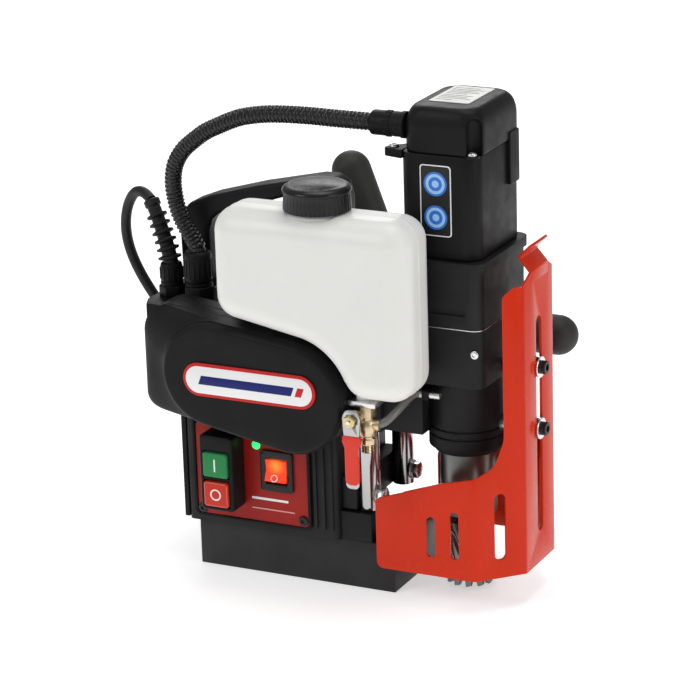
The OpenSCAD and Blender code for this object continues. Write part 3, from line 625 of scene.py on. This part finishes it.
def strain_relief():
    """Ribbed sleeve: a tapered core with rings that stand off it, open between them."""
    route = resample(smooth_route(RELIEF_ROUTE, 8), 0.5)
    last = len(route) - 1
    radii = []
    for i in range(len(route)):
        share = i / last
        core, rib = 5.6 - 0.8 * share, 8.9 - 1.5 * share
        phase = (i * 0.5 - 3.5) % 6.4
        ribbed = 3 < i * 0.5 < last * 0.5 - 8
        rise = min(1.0, max(0.0, min(phase / 0.8, (3.4 - phase) / 0.8))) if ribbed else 0.0
        radii.append(core + (rib - core) * rise)
    radii[-13:-1] = [5.0, 5.9, 6.1, 6.1, 6.1, 6.1, 6.1, 6.1, 6.1, 6.1, 5.9, 5.2]
    sweep("ribbed_relief", route, lambda i, k: radii[i], "rubber", 28, 30)
    return group("ribbed_relief", "strain_relief")


relief = strain_relief()


def plug():
    """Round two-pin plug with a plain body and its own ribbed, tapered neck."""
    at = (-54, 62, 17)
    neck = [(4.2, -1), (5.4, 0), (5.6, 2.0), (4.8, 2.4), (4.9, 4.2), (6.3, 4.6), (6.4, 6.6), (5.5, 7.0),
            (5.7, 8.8), (7.2, 9.2), (7.3, 11.4), (6.4, 11.8), (6.8, 14), (8.4, 16), (10, 17.5)]
    shell = [(13.5, 22), (16.0, 28), (16.7, 31), (16.9, 34), (16.9, 49), (16.4, 50.6), (15.4, 51.4),
             (0, 51.4)]
    lathe("plug_body", [(0, -1)] + neck + shell, at, "rubber", axis="X", n=72)
    for y in (52.5, 71.5):
        lathe("plug_pin", [(0, 0), (2.3, 0), (2.3, 16.5), (1.6, 18.6), (0, 19)], (-2.7, y, 17), "zinc",
              axis="X", n=24)
    return group("plug_body", "cord_plug")


plug_piece = plug()

# ---------------------------------------------------------------- outlines

def rounded(points, radii, n=5):
    """Outline with its corners rounded; a radius of 0 leaves a corner as it is."""
    out, count = [], len(points)
    for i, (p, r) in enumerate(zip(points, radii)):
        p = Vector(p)
        a, b = Vector(points[i - 1]), Vector(points[(i + 1) % count])
        if not r:
            out.append(tuple(p))
            continue
        u, v = (a - p), (b - p)
        half = u.angle(v) / 2
        back = min(r / math.tan(half), 0.49 * u.length, 0.49 * v.length)
        r = back * math.tan(half)
        centre = p + (u.normalized() + v.normalized()).normalized() * (r / math.sin(half))
        start = p + u.normalized() * back - centre
        end = p + v.normalized() * back - centre
        turn = start.angle_signed(end)
        for k in range(n + 1):
            t = -turn * k / n
            out.append((centre.x + start.x * math.cos(t) - start.y * math.sin(t),
                        centre.y + start.x * math.sin(t) + start.y * math.cos(t)))
    return out


def support(circles, n=96, inset=0.0):
    """Outline of the hull of some circles (x, y, r), one point for each of n directions."""
    out = []
    for k in range(n):
        ux, uy = math.cos(TAU * k / n), math.sin(TAU * k / n)
        x, y, r = max(circles, key=lambda c: c[0] * ux + c[1] * uy + c[2])
        out.append((x + (r - inset) * ux, y + (r - inset) * uy))
    return out


def mix(a, b, t):
    return tuple(p + (q - p) * t for p, q in zip(a, b))


# ---------------------------------------------------------------- coolant tank and cap

def tank_skeleton():
    """Points and outward directions: the blow-moulded outline is this moved out by a radius."""
    out = []

    def corner(at, a0, a1, n=8):
        for k in range(n + 1):
            a = math.radians(a0 + (a1 - a0) * k / n)
            out.append((at, (math.cos(a), math.sin(a))))

    corner((-14, 276.5), 180, 90)
    corner((102, 276.5), 90, 0)
    corner((102, 182), 0, -90)
    corner((84, 182), -90, -157)
    for k in range(15):
        a = math.radians(23 + 54 * k / 14)
        out.append(((24 + 64 * math.cos(a), 158 + 64 * math.sin(a)), (-math.cos(a), -math.sin(a))))
    corner((-14, 230), -103, -180)
    return out


def coolant_tank():
    skeleton = tank_skeleton()
    y_front, y_back, r = -98, -46, 18
    rings = []

    def ring(out, y):
        rings.append([(p[0] + d[0] * out, y, p[1] + d[1] * out) for p, d in skeleton])

    front = [(0.4, 0.35), (4.5, 0.42)]
    front += [(r * math.sin(math.radians(a)) ** 0.9, 0.35 + (r - 0.35) * (1 - math.cos(math.radians(a))))
              for a in range(20, 91, 7)]
    for out, advance in front:
        ring(out, y_front + advance)
    for out, y in ((r, -73.4), (r + 0.06, -72.9), (r + 0.28, -72.5), (r + 0.28, -71.9), (r + 0.06, -71.5),
                   (r, -71)):
        ring(out, y)
    for out, advance in reversed(front):
        ring(out, y_back - advance)
    stack("tank_shell", rings, "tank", degrees=50)
    lathe("tank_neck", [(14, 1), (14, 10), (17, 10), (17, 2.2), (19, 1.4), (21.5, 0.4), (23, -1), (14, -1),
                        (14, 1)], (*CAP_AT, 293.6), "tank", n=72)
    lathe("tank_outlet", [(3, 0), (6.8, 0), (7, 0.8), (7, 2.8), (9, 6), (9, 9), (3, 9), (3, 0)],
          (*VALVE_AT, 160.5), "tank", n=40)
    group("tank_shell", "coolant_tank")


def tank_cap():
    """Domed lid over a finely ribbed skirt."""
    n, rings = 192, []

    def ring(r, z, ribs=0.0):
        points = []
        for k in range(n):
            a = TAU * k / n
            out = r - ribs * (0.5 + 0.5 * math.tanh(3 * math.cos(48 * TAU * k / n)))
            points.append((out * math.cos(a) + CAP_AT[0], out * math.sin(a) + CAP_AT[1], 295.2 + z))
        rings.append(points)

    for r, z in ((17.2, 9.1), (17.2, 0), (23.2, 0), (24, 0.5)):
        ring(r, z)
    for r, z in ((24.1, 1.0), (24.0, 4), (23.7, 9), (23.5, 12.6)):
        ring(r, z, 0.38)
    for r, z in ((23.6, 13.1), (24.2, 13.4), (24.45, 13.9), (24.4, 14.6), (24.0, 15.5), (23.1, 16.5),
                 (21.6, 17.4), (19.4, 18.1), (19.0, 18.0), (18.6, 18.1), (15.5, 18.8), (11, 19.4), (6, 19.7),
                 (1.5, 19.8), (0, 19.8)):
        ring(r, z)
    stack("tank_lid", rings, "cap", caps=False, degrees=32)
    group("tank_lid", "tank_cap")


# ---------------------------------------------------------------- feed cover and badge

TAIL, LOW, MID, NOSE = (-78, 190, 22), (-88, 144, 12), (-38, 168, 40), (24, 158, 42)


def feed_cover():
    rings = []

    def ring(y, spread, inset):
        circles = [mix(MID, TAIL, spread), mix(MID, LOW, spread), MID, NOSE]
        rings.append([(x, y, z) for x, z in support(circles, 128, inset)])

    ring(-91.6, 0, 12)
    for inset, advance in ((5.2, 0), (3.9, 0.25), (2.8, 0.8), (2.1, 1.7), (1.6, 3.0), (1.1, 4.6), (0.5, 6.0)):
        ring(-92 + advance, 0, inset)
    for k in range(11):
        t = k / 10
        ring(-86 + 13 * t, t ** 1.9 * (2 - t ** 1.5), 0)
    ring(-72.5, 1, 0.2)
    ring(-72.3, 1, 0.9)
    stack("feed_cover_shell", rings, "plastic", degrees=40)
    group("feed_cover_shell", "feed_cover_front")
    rings = []
    full = [TAIL, LOW, NOSE]
    for y, inset in ((-72.0, 1.6), (-71.9, 0.7), (-71.3, 0.1), (-70.4, 0), (-60, 0), (-59.6, 0.5),
                     (-59.0, 0.5), (-58.6, 0), (-46.2, 0), (-45.2, 0.6), (-45, 1.4)):
        rings.append([(x, y, z) for x, z in support(full, 128, inset)])
    stack("feed_cover_base", rings, "plastic", degrees=40)
    group("feed_cover_base", "feed_cover_rear")


def badge():
    """Blank badge: red rim, white field and a plain blue bar."""
    prism("badge_rim", round_rect(-58.5, 47, 153, 178, 12.4, 10), (-93.1, -91.7), "red_print", "Y",
          bevel=0.5)
    prism("badge_field", round_rect(-56.1, 44.6, 155.4, 175.6, 10, 10), (-93.4, -92.6), "white", "Y",
          bevel=0.15, segments=2)
    bar = [(-46, 162.2), (28, 162.2), (30.5, 168.8), (-43.5, 168.8)]
    prism("badge_bar", bar, (-93.6, -93.0), "navy", "Y", bevel=0.1, segments=2)
    tick = [(31, 162.2), (36, 162.2), (38.5, 168.8), (33.5, 168.8)]
    prism("badge_tick", tick, (-93.6, -93.0), "red_print", "Y", bevel=0.1, segments=2)
    group("badge", "badge_plate")


# ---------------------------------------------------------------- motor and gearbox

def motor():
    rings = []
    for z, inset in ((257, 1.2), (257.4, 0.4), (258.2, 0), (331.0, 0), (331.6, 0.3), (331.8, 0.9), (332, 2)):
        rings.append([(x, y, z) for x, y in round_rect(90 + inset, 149.5 - inset, -40 + inset, 40 - inset,
                                                       12 - inset, 8)])
    stack("motor_shell", rings, "plastic")
    prism("motor_lug", rounded([(92, -37.5), (92, -15), (88, -17), (77, -27), (76.4, -33.5)],
                               [0, 0, 2, 2, 3]), (326.4, 332.5), "plastic", bevel=0.8)
    prism("motor_side_key", round_rect(14, 30, 300, 338, 1.5), (148.5, 152.2), "plastic", "X",
          bevel=0.7)
    group("motor_shell", "motor_housing")
    rings = []
    for z, inset in ((332.2, 1.6), (332.4, 0.6), (333.0, 0.1), (334, 0), (349, 0)):
        rings.append([(x, y, z) for x, y in round_rect(92 + inset, 151 - inset, -39 + inset, 39 - inset,
                                                       13 - inset, 8)])
    for k in range(1, 9):
        a = math.pi / 2 * k / 8
        inset, z = 7.5 * (1 - math.cos(a)), 349 + 15.4 * math.sin(a)
        rings.append([(x, y, z) for x, y in round_rect(92 + inset, 151 - inset, -39 + inset, 39 - inset,
                                                       13, 8)])
    rings.append([(x, y, 364.5) for x, y in round_rect(102, 141, -29, 29, 8, 8)])
    cap = stack("motor_lid", rings, "plastic")
    groove = lathe("groove", [(0, -3), (6.2, -3), (6.2, 21), (5.4, 24), (3.2, 26.2), (0, 27)],
                   (146.8, -34.8, 332), "plastic", n=40)
    groove2 = lathe("groove", [(0, -3), (5, -3), (5, 19), (4, 22), (2, 24), (0, 24.6)], (149.5, 36, 332),
                    "plastic", n=40)
    cut(cap, groove, groove2)
    bevelled(cap, 0.7, 2, 50)
    lathe("corner_seat", [(0, -1), (5.2, -1), (5.2, 0.4), (4.8, 0.8), (0, 0.8)], (144.6, -35.2, 332),
          "plastic", n=32)
    group("motor_lid", "motor_cap")


def screw(name, at, axis, r, h, look, recess=0.45, sign=1):
    """Pan head with a hexagon recess; it stands off the point at along the axis."""
    profile = [(0, 0), (r * 0.98, 0), (r, h * 0.25), (r * 0.96, h * 0.62), (r * 0.84, h * 0.88),
               (r * 0.62, h), (r * recess, h), (r * recess, h * 0.35), (0, h * 0.3)]
    return lathe(name, [(p, q * sign) for p, q in profile], at, look, axis=axis, n=36)


def painted_highlight_strip():
    """Painted highlight: a thin bright metal strip along the joint between the two gearbox castings, standing
    in for the light caught along the parting line.
    """
    ring = prism("painted_joint_highlight", round_rect(91.75, 152.25, -42.25, 42.25, 8.25, 8), (207.75, 208.2), "zinc")
    cut(ring, prism("middle", round_rect(95, 149, -39, 39, 5, 8), (205, 210), "zinc"))
    group("painted_joint_highlight", body="carriage")


def head_screws():
    screw("lug_screw", (82.5, -28.5, 332.4), "Z", 3.6, 2.0, "zinc")
    screw("corner_screw", (144.8, -35.4, 332.8), "Z", 3.4, 2.2, "zinc")
    for x in (97, 147):
        screw("gearbox_screw", (x, -42, 191), "Y", 3.2, 1.5, "zinc", sign=-1)
    group("head_screws", "drive_screws")


def labels():
    """Two plain blue discs on a dark sticker, and a rating plate with plain rules."""
    prism("sticker_edge", round_rect(107, 130.5, 274, 325, 2.6), (-40.25, -39.8), "white", "Y",
          bevel=0.08, segments=1)
    prism("sticker_field", round_rect(107.8, 129.7, 274.8, 324.2, 2.0), (-40.32, -39.9), "smooth", "Y",
          bevel=0.05, segments=1)
    for z in (311.5, 287.5):
        prism("sticker_disc", circle(118.7, z, 8.7, 48), (-40.37, -40.0), "blue", "Y")
        lathe("sticker_ring", [(5.1, 0), (7.2, 0), (7.2, -0.1), (5.1, -0.1), (5.1, 0)], (118.7, -40.34, z),
              "light_blue", axis="Y", n=48)
        prism("sticker_dot", circle(118.7, z, 2.6, 32), (-40.44, -40.3), "light_blue", "Y")
    group("sticker", "head_labels")
    prism("rating_plate", round_rect(105, 135.5, -19, 27.5, 1.2), (364.2, 364.95), "silver_label",
          bevel=0.1, segments=1)
    for width, y in ((19, 22), (24, 17.5), (21, 13.5), (24, 9.5), (16, 5.5), (23, 0.5), (20, -3.5),
                     (24, -7.5), (12, -12.5)):
        prism("rating_rule", round_rect(107.5, 107.5 + width, y - 0.7, y + 0.7, 0.5, 3), (364.8, 365.0),
              "grey_print")
    group("rating_plate", body="carriage")


# ---------------------------------------------------------------- guard

def guard():
    """Folded sheet: a rounded fold path cut to the side and front profiles, then slotted."""
    outer = [(73, -55), (150, -55), (178, -26), (178, 26), (150, 55), (73, 55)]
    inner = [(73, 53), (149.1, 53), (176, 25.1), (176, -25.1), (149.1, -53), (73, -53)]
    fold = rounded(outer, [0, 4, 3.2, 3.2, 4, 0], 6) + rounded(inner, [0, 2.2, 1.4, 1.4, 2.2, 0], 6)
    sheet = prism("guard_sheet", fold, (25, 246.3), "guard")
    side = rounded([(70, 20), (70, 76), (75, 78.5), (100, 87.5), (124, 96), (150, 102.5), (161, 108.5),
                    (166.5, 128), (166.5, 234), (173, 240.5), (176.2, 242.5), (176.2, 255), (185, 255),
                    (185, 20)], [0, 0, 4, 30, 30, 16, 14, 30, 5, 6, 0, 0, 0, 0], 6)
    profile = prism("side_profile", side, (-60, 60), "guard", "Y")
    front = [(-60, 20), (60, 20), (60, 241), (27, 241), (18, 246.2), (-12, 246.2), (-26, 239.5), (-60, 239.5)]
    top = prism("front_profile", rounded(front, [0, 0, 0, 3, 4, 4, 3, 0]), (60, 190), "guard", "X")
    corner = prism("rear_corners", rounded([(73, 25), (73, 77.8), (100, 87), (190, 87), (190, 25)],
                                           [5, 5, 0, 0, 0]), (-60, 60), "guard", "Y")
    upper = prism("upper", [(95, 60), (95, 260), (190, 260), (190, 60)], (-61, 61), "guard", "Y")
    cut(corner, upper, operation="UNION")
    cut(sheet, profile, top, corner, operation="INTERSECT")
    slots = []
    for x0, x1, z0, z1 in ((112.5, 119.5, 39, 70), (131.3, 138, 40, 76)):
        slots.append(prism("slot", round_rect(x0, x1, z0, z1, (x1 - x0) / 2 - 0.05, 8), (-62, 62), "guard",
                           "Y"))
    slots.append(prism("slot", round_rect(-5, 5, 49, 211, 4.9, 8), (160, 190), "guard", "X"))
    for sign in (-1, 1):
        slot = prism("slot", round_rect(-4.3, 4.3, 39, 89, 4.2, 8), (-9, 9), "guard", "X")
        turn = Matrix.Rotation(math.radians(sign * 44), 4, "Z")
        slot.data.transform(Matrix.Translation((164 * MM, sign * 40.5 * MM, 0)) @ turn)
        slots.append(slot)
    cut(sheet, *slots)
    tab = rounded([(178.15, 238), (178.15, 246.6), (169.9, 255.9), (178.3, 264.3), (176.8, 265.8),
                   (166.9, 256), (175.85, 245.7), (175.85, 238)], [0.4, 3.2, 1.4, 0.6, 0.6, 3.2, 1.6, 0.4])
    prism("guard_tab", tab, (-12, 18), "guard", "Y", bevel=0.35, segments=2, degrees=50)
    bevelled(sheet, 0.3, 2, 50)
    group("guard_sheet", "guard")


def guard_fixings():
    for z in (127, 173):
        lathe("guard_washer", [(4.1, 0.2), (7.7, 0.2), (7.9, 0.5), (7.9, 1.5), (7.5, 1.9), (4.1, 1.9),
                               (4.1, 0.2)], (GUARD_FACE, 0, z), "zinc", axis="X", n=48)
        lathe("guard_head", [(0, 1.6), (4.7, 1.6), (4.9, 2.0), (4.9, 5.7), (4.4, 6.3), (2.6, 6.3),
                             (2.6, 3.4), (0, 3.2)], (GUARD_FACE, 0, z), "black_screw", axis="X", n=40)
    group("guard_screws_and_washers", "guard_screws")


# ---------------------------------------------------------------- conduit, hose and glands

CONDUIT_ROUTE = [(-84, -18, 236), (-84.5, -18, 240), (-88, -18, 246.5), (-94, -18, 256), (-98, -18, 265),
                 (-100.5, -18, 275), (-101, -19, 288), (-98, -20, 301), (-91, -20.5, 312), (-82, -21, 320),
                 (-71, -21.5, 328), (-59, -22, 334), (-48, -23, 339), (-36, -24, 343), (-16, -25, 346.5),
                 (12, -26.5, 348.2), (39, -28, 348.5), (65.7, -28, 348.5)]
HOSE_ROUTE = [(84, -72, 141), (88.5, -70, 142.5), (92.5, -65, 146), (95, -59, 149.5), (96.5, -53, 152.3),
              (97.5, -47, 154.5), (99, -41.5, 155.7), (101, -39, 156), (104.2, -38.6, 156)]


def conduit():
    """Corrugated tube: one ridge every 3 mm, each notched round its crest."""
    route = resample(smooth_route(CONDUIT_ROUTE, 8), 0.5)

    def radius(i, k):
        ridge, step = divmod(i, 6)
        crest = (0.0, 0.75, 1.0, 1.0, 0.75, 0.0)[step]
        notch = 0.38 if (k + ridge) % 2 and crest else 0.0
        return 5.55 + 0.95 * crest - notch * crest

    bending(sweep("conduit_ribs", route, radius, "conduit", 30, 30), "motor_conduit")


def hose():
    route = resample(smooth_route(HOSE_ROUTE, 8), 1.0)
    bending(sweep("hose_tube", route, lambda i, k: 3.0, "hose", 20, 60), "coolant_hose")


def nozzle():
    lathe("nozzle_tube", [(1.3, 15), (1.3, -1), (2.9, -1), (3.1, 0), (3.1, 2.4), (2.7, 2.8), (2.7, 13.8),
                          (2.3, 15), (1.3, 15)], (103.6, -38.6, 156), "zinc", axis="X", n=28)
    prism("nozzle_clip", round_rect(105.2, 110.8, 152.6, 159.4, 1.4), (-42, -27), "plastic", "Y", bevel=0.5)
    group("nozzle_and_clip", "hose_nozzle")


def glands():
    y0, z0 = CONDUIT_END
    connector = [(0, 0), (7.0, 0), (8.6, 0.8), (8.9, 1.8), (8.9, 15.6), (8.3, 16.0), (8.3, 17.4), (8.9, 17.8),
                 (8.9, 23), (9.6, 23.6), (9.6, 26.6), (0, 26.6)]
    lathe("conduit_socket", connector, (66, y0, z0), "plastic", axis="X", n=56)
    for k in range(14):
        a = TAU * k / 14
        at = (y0 + 8.9 * math.cos(a), z0 + 8.9 * math.sin(a))
        prism("socket_rib", circle(*at, 0.55, 10), (77, 81.4), "plastic", "X", bevel=0.2)
    group("conduit_socket", "conduit_connector")
    x0, y0 = CONDUIT_EXIT
    prism("conduit_nut", circle(x0, y0, 12, 6), (198, 210.5), "plastic", bevel=0.9)
    lathe("conduit_collar", [(0, 11), (9.4, 11), (9.9, 12), (9.9, 13.5), (9.3, 14), (10, 15), (10.2, 17),
                             (10.2, 34), (9.7, 36), (8.8, 37.2), (7, 37.8), (0, 37.8)], (x0, y0, 199),
          "plastic", n=56)
    for k in range(18):
        a = TAU * k / 18
        at = (x0 + 10.1 * math.cos(a), y0 + 10.1 * math.sin(a))
        prism("collar_rib", circle(*at, 0.6, 8), (217, 231), "plastic", bevel=0.2)
    group("conduit_gland_body", "conduit_gland")
    x0, y0 = CORD_EXIT
    prism("cord_nut", circle(x0, y0, 10, 6, math.radians(30)), (198, 206.5), "plastic", bevel=0.8)
    lathe("cord_collar", [(0, 0), (8.0, 0), (8.4, 1), (8.4, 3), (7.8, 3.6), (8.3, 4.6), (8.5, 7), (8.4, 14),
                          (7.9, 16.6), (6.8, 17.6), (0, 18)], (x0, y0, 206), "plastic", n=48)
    for k in range(14):
        a = TAU * k / 14
        at = (x0 + 8.35 * math.cos(a), y0 + 8.35 * math.sin(a))
        prism("cord_collar_rib", circle(*at, 0.6, 8), (211, 220), "plastic", bevel=0.2)
    group("cord_gland_body", "cord_gland")


# ---------------------------------------------------------------- controls

def controls():
    box = prism("switch_shell", round_rect(-63, -36, 55, 113, 3), (-67, -47.5), "plastic", "Y", bevel=1.6)
    well = prism("well", round_rect(-60.2, -38.8, 57.8, 101.2, 1.6), (-70, -51.5), "plastic", "Y")
    cut(box, well)
    bevelled(box, 0.4, 2, 50)
    prism("switch_divider", round_rect(-60.4, -38.6, 78.6, 80.4, 0.5), (-66.4, -50.5), "plastic", "Y",
          bevel=0.3)
    group("switch_shell", "switch_box")
    for name, look, z0, z1 in (("start", "green", 81.4, 100.4), ("stop", "red", 58.6, 77.8)):
        prism(name + "_cap", round_rect(-59.5, -39.5, z0, z1, 1.8), (-69.0, -56), look, "Y", bevel=1.3,
              segments=4)
        if name == "start":
            prism("start_mark", round_rect(-50.2, -49.0, 86, 95.8, 0.5, 3), (-69.1, -68.8), "white", "Y")
        else:
            lathe("stop_mark", [(3.3, 0), (4.4, 0), (4.4, -0.4), (3.3, -0.4), (3.3, 0)],
                  (-49.6, -68.75, 68.2), "white", axis="Y", n=40)
            edge = prism("stop_rim", round_rect(-58.9, -40.1, 59.2, 77.2, 1.5), (-68.95, -68.2), "stop_edge",
                         "Y", bevel=0.35)
            cut(edge, prism("hollow", round_rect(-57.6, -41.4, 60.5, 75.9, 1.2), (-70, -67), "red", "Y"))
        group(name + "_cap", name + "_button")
    lathe("led_dome", [(0, 1.4), (3.4, 1.4), (3.5, 0.6), (3.2, -0.3), (2.5, -1.1), (1.4, -1.5), (0, -1.6)],
          (-26, -47.6, 103), "led", axis="Y", n=32)
    group("led_dome", "led_lens")
    for x, z in ((11, 49), (-72, 48)):
        screw("panel_screw", (x, -47.5, z), "Y", 3.8, 1.8, "black_screw", 0.4, -1)
    prism("panel_rule", round_rect(-31, -1, 60.9, 62.7, 0.7, 3), (-47.75, -47.3), "white", "Y")
    prism("panel_rule_small", round_rect(-31, 4, 53.4, 54.4, 0.4, 3), (-47.75, -47.3), "light_red", "Y")
    rim = prism("panel_rim", round_rect(-79.5, 17.2, 41.2, 118, 5), (-48.3, -45.2), "plastic", "Y", bevel=0.8)
    inside = prism("inside", round_rect(-76.2, 15.2, 43.8, 120, 3), (-50, -44), "plastic", "Y")
    cut(rim, inside)
    group("panel_trim", body="frame")
    for y in (-29, 29):
        prism("rod_bolt", circle(y, 70, 6.5, 6), (64.4, 69.4), "zinc", "X", bevel=0.6)
        lathe("rod_bolt_washer", [(0, 0), (7.2, 0), (7.3, 0.4), (7, 0.9), (0, 0.9)], (63.6, y, 70), "zinc",
              axis="X", n=32)
    group("rod_bolts", "case_screws")
    mark = lathe("rocker_mark", [(2.1, 0), (2.8, 0), (2.8, -0.3), (2.1, -0.3), (2.1, 0)], (0, 0, 0), "white",
                 axis="Y", n=32)
    tilt = Matrix.Rotation(math.radians(-22), 4, "X")
    mark.data.transform(Matrix.Translation((-9.8 * MM, -51.9 * MM, 80.6 * MM)) @ tilt)
    group("rocker_mark", body="rocker")


def valve():
    """Brass ball valve with its hexagons, barbed outlet and gland nut."""
    x, y = VALVE_AT
    lathe("valve_body_turned", [(0, 0), (6.2, 0), (6.2, 3), (5.2, 3.6), (5.2, 5), (6.6, 6.5), (7.2, 10),
                                (7.2, 13), (6.6, 16.5), (5.2, 18), (5.2, 20.4), (0, 20.4)], (x, y, 127),
          "brass", n=40)
    prism("valve_hex", circle(x, y, 7.2, 6, 0.3), (146.8, 155.6), "brass", bevel=0.7)
    prism("valve_low_hex", circle(x, y, 6.6, 6, 0.8), (126.2, 131), "brass", bevel=0.6)
    lathe("valve_barb", [(0, 0), (3.2, 0), (4.3, 0.8), (3.5, 2.4), (4.3, 3.0), (3.5, 4.6), (4.4, 5.2),
                         (3.6, 7.2), (0, 7.2)], (x, y, 119.6), "brass", n=28)
    lathe("valve_side", [(0, 0), (4.6, 0), (4.6, 4), (4.0, 4.6), (4.1, 8.4), (3.4, 9.4), (0, 9.4)],
          (x + 1, y, 141), "brass", axis="X", n=28)
    lathe("valve_stem", [(0, 0), (4.8, 0), (4.8, -6), (3.6, -6.5), (3.6, -9.4), (2.5, -9.6), (2.5, -16.6),
                         (0, -16.6)], (LEVER_AT[0], -74, LEVER_AT[1]), "brass", axis="Y", n=32)
    prism("valve_nut", circle(*LEVER_AT, 4.9, 6, 0.35), (-92.4, -89.2), "yellow_brass", "Y", bevel=0.5)
    lathe("valve_stud", [(0, 0), (1.7, 0), (1.7, -1.2), (1.3, -1.6), (0, -1.6)],
          (LEVER_AT[0], -92.3, LEVER_AT[1]), "zinc", axis="Y", n=20)
    group("ball_valve", "valve_body")
    sleeve = rounded([(66.4, 99.5), (77.4, 99.5), (77.6, 127), (79.4, 132), (79.2, 136.5), (64.8, 136.5),
                      (64.6, 132), (66.4, 127)], [4, 4, 4, 2, 1.5, 1.5, 2, 4], 5)
    prism("lever_grip", sleeve, (-89.3, -85.8), "lever", "Y", bevel=1.2)
    outline = rounded([(67, 96.8), (77, 96.8), (78, 136), (79.2, 150), (76, 155.6), (68, 155.6), (64.8, 150),
                       (66, 136)], [3.4, 3.4, 0, 5, 4, 4, 5, 0], 6)
    plate = prism("lever_plate", outline, (-88.4, -86.7), "steel", "Y", bevel=0.4, segments=2)
    hole = lathe("hole", [(0, 3), (2.8, 3), (2.8, -3), (0, -3)], (LEVER_AT[0], -87.5, LEVER_AT[1]), "lever",
                 axis="Y", n=24)
    cut(plate, hole)
    group("valve_handle", "valve_lever")


# ---------------------------------------------------------------- spindle and cutter

def annular_cutter():
    """Hollow cutter: twelve stepped teeth, helical flutes and a smooth shank, round a clear bore."""
    n, teeth, tip, bore, cup = 144, 12, 3, 3.25, 14.2
    gullet, gullet_depth = 0.36, 4.2
    shares = [(k / n * teeth) % 1.0 for k in range(n)]
    edge = [tip + (gullet_depth if share < gullet else 2.2 * (share - gullet)) for share in shares]
    rings = []

    def ring(r, z):
        rings.append([(x, y, z) for x, y in circle(SPINDLE_X, 0, r, n)])

    def outer(z):
        """Outside of the cup at one height; its lowest ring follows the teeth."""
        points = []
        for k in range(n):
            phase = (k / n * teeth + (z - tip) * 0.045) % 1.0
            fluted = 0.5 - 0.5 * math.tanh((abs(phase - 0.22) - 0.17) * 22)
            r = 18 - 1.7 * fluted * min(1, max(0, (46 - z) / 6))
            points.append((SPINDLE_X + r * math.cos(TAU * k / n), r * math.sin(TAU * k / n),
                           edge[k] if z == tip else z))
        rings.append(points)

    for r, z in ((bore, 94.5), (bore, 40), (cup, 40), (cup, 9)):
        ring(r, z)
    rings.append([(x, y, z) for (x, y), z in zip(circle(SPINDLE_X, 0, cup, n), edge)])
    outer(tip)
    for z in range(9, 47):
        outer(z)
    for r, z in ((18, 47.5), (18, 51.3), (17.3, 52), (9.5, 52), (9.5, 93.8), (8.8, 94.5), (bore, 94.5)):
        ring(r, z)
    stack("fluted_cutter", rings, "cutter", caps=False, degrees=32)
    group("fluted_cutter", "cutter")


# ---------------------------------------------------------------- everything together

coolant_tank()
tank_cap()
feed_cover()
badge()
motor()
# painted highlight: bright strip along the gearbox parting line
painted_highlight_strip()
head_screws()
labels()
guard()
guard_fixings()
conduit()
hose()
nozzle()
glands()
controls()
valve()
annular_cutter()
for node, width, segments in (("magnet_base", 0.8, 2), ("body_housing", 1.2, 2), ("rear_cover", 2.5, 3),
                              ("control_panel", 0.3, 1), ("rocker_frame", 0.6, 2), ("rocker_switch", 0.6, 2),
                              ("carry_handle", 3.2, 4), ("lower_rod_block", 0.8, 2),
                              ("upper_rod_block", 1.0, 2), ("carriage", 1.6, 3), ("gearbox_housing", 1.2, 3),
                              ("gearbox_cover", 1.6, 3), ("guide_rods", 0.6, 2), ("spindle", 0.7, 2),
                              ("tank_brackets", 0.4, 2), ("guard_mounts", 0.4, 2), ("capstan_hub", 0.8, 2),
                              ("capstan_spokes", 0.3, 1), ("capstan_grips", 1.2, 3), ("pilot_pin", 0.4, 2)):
    soften(node, width, segments)
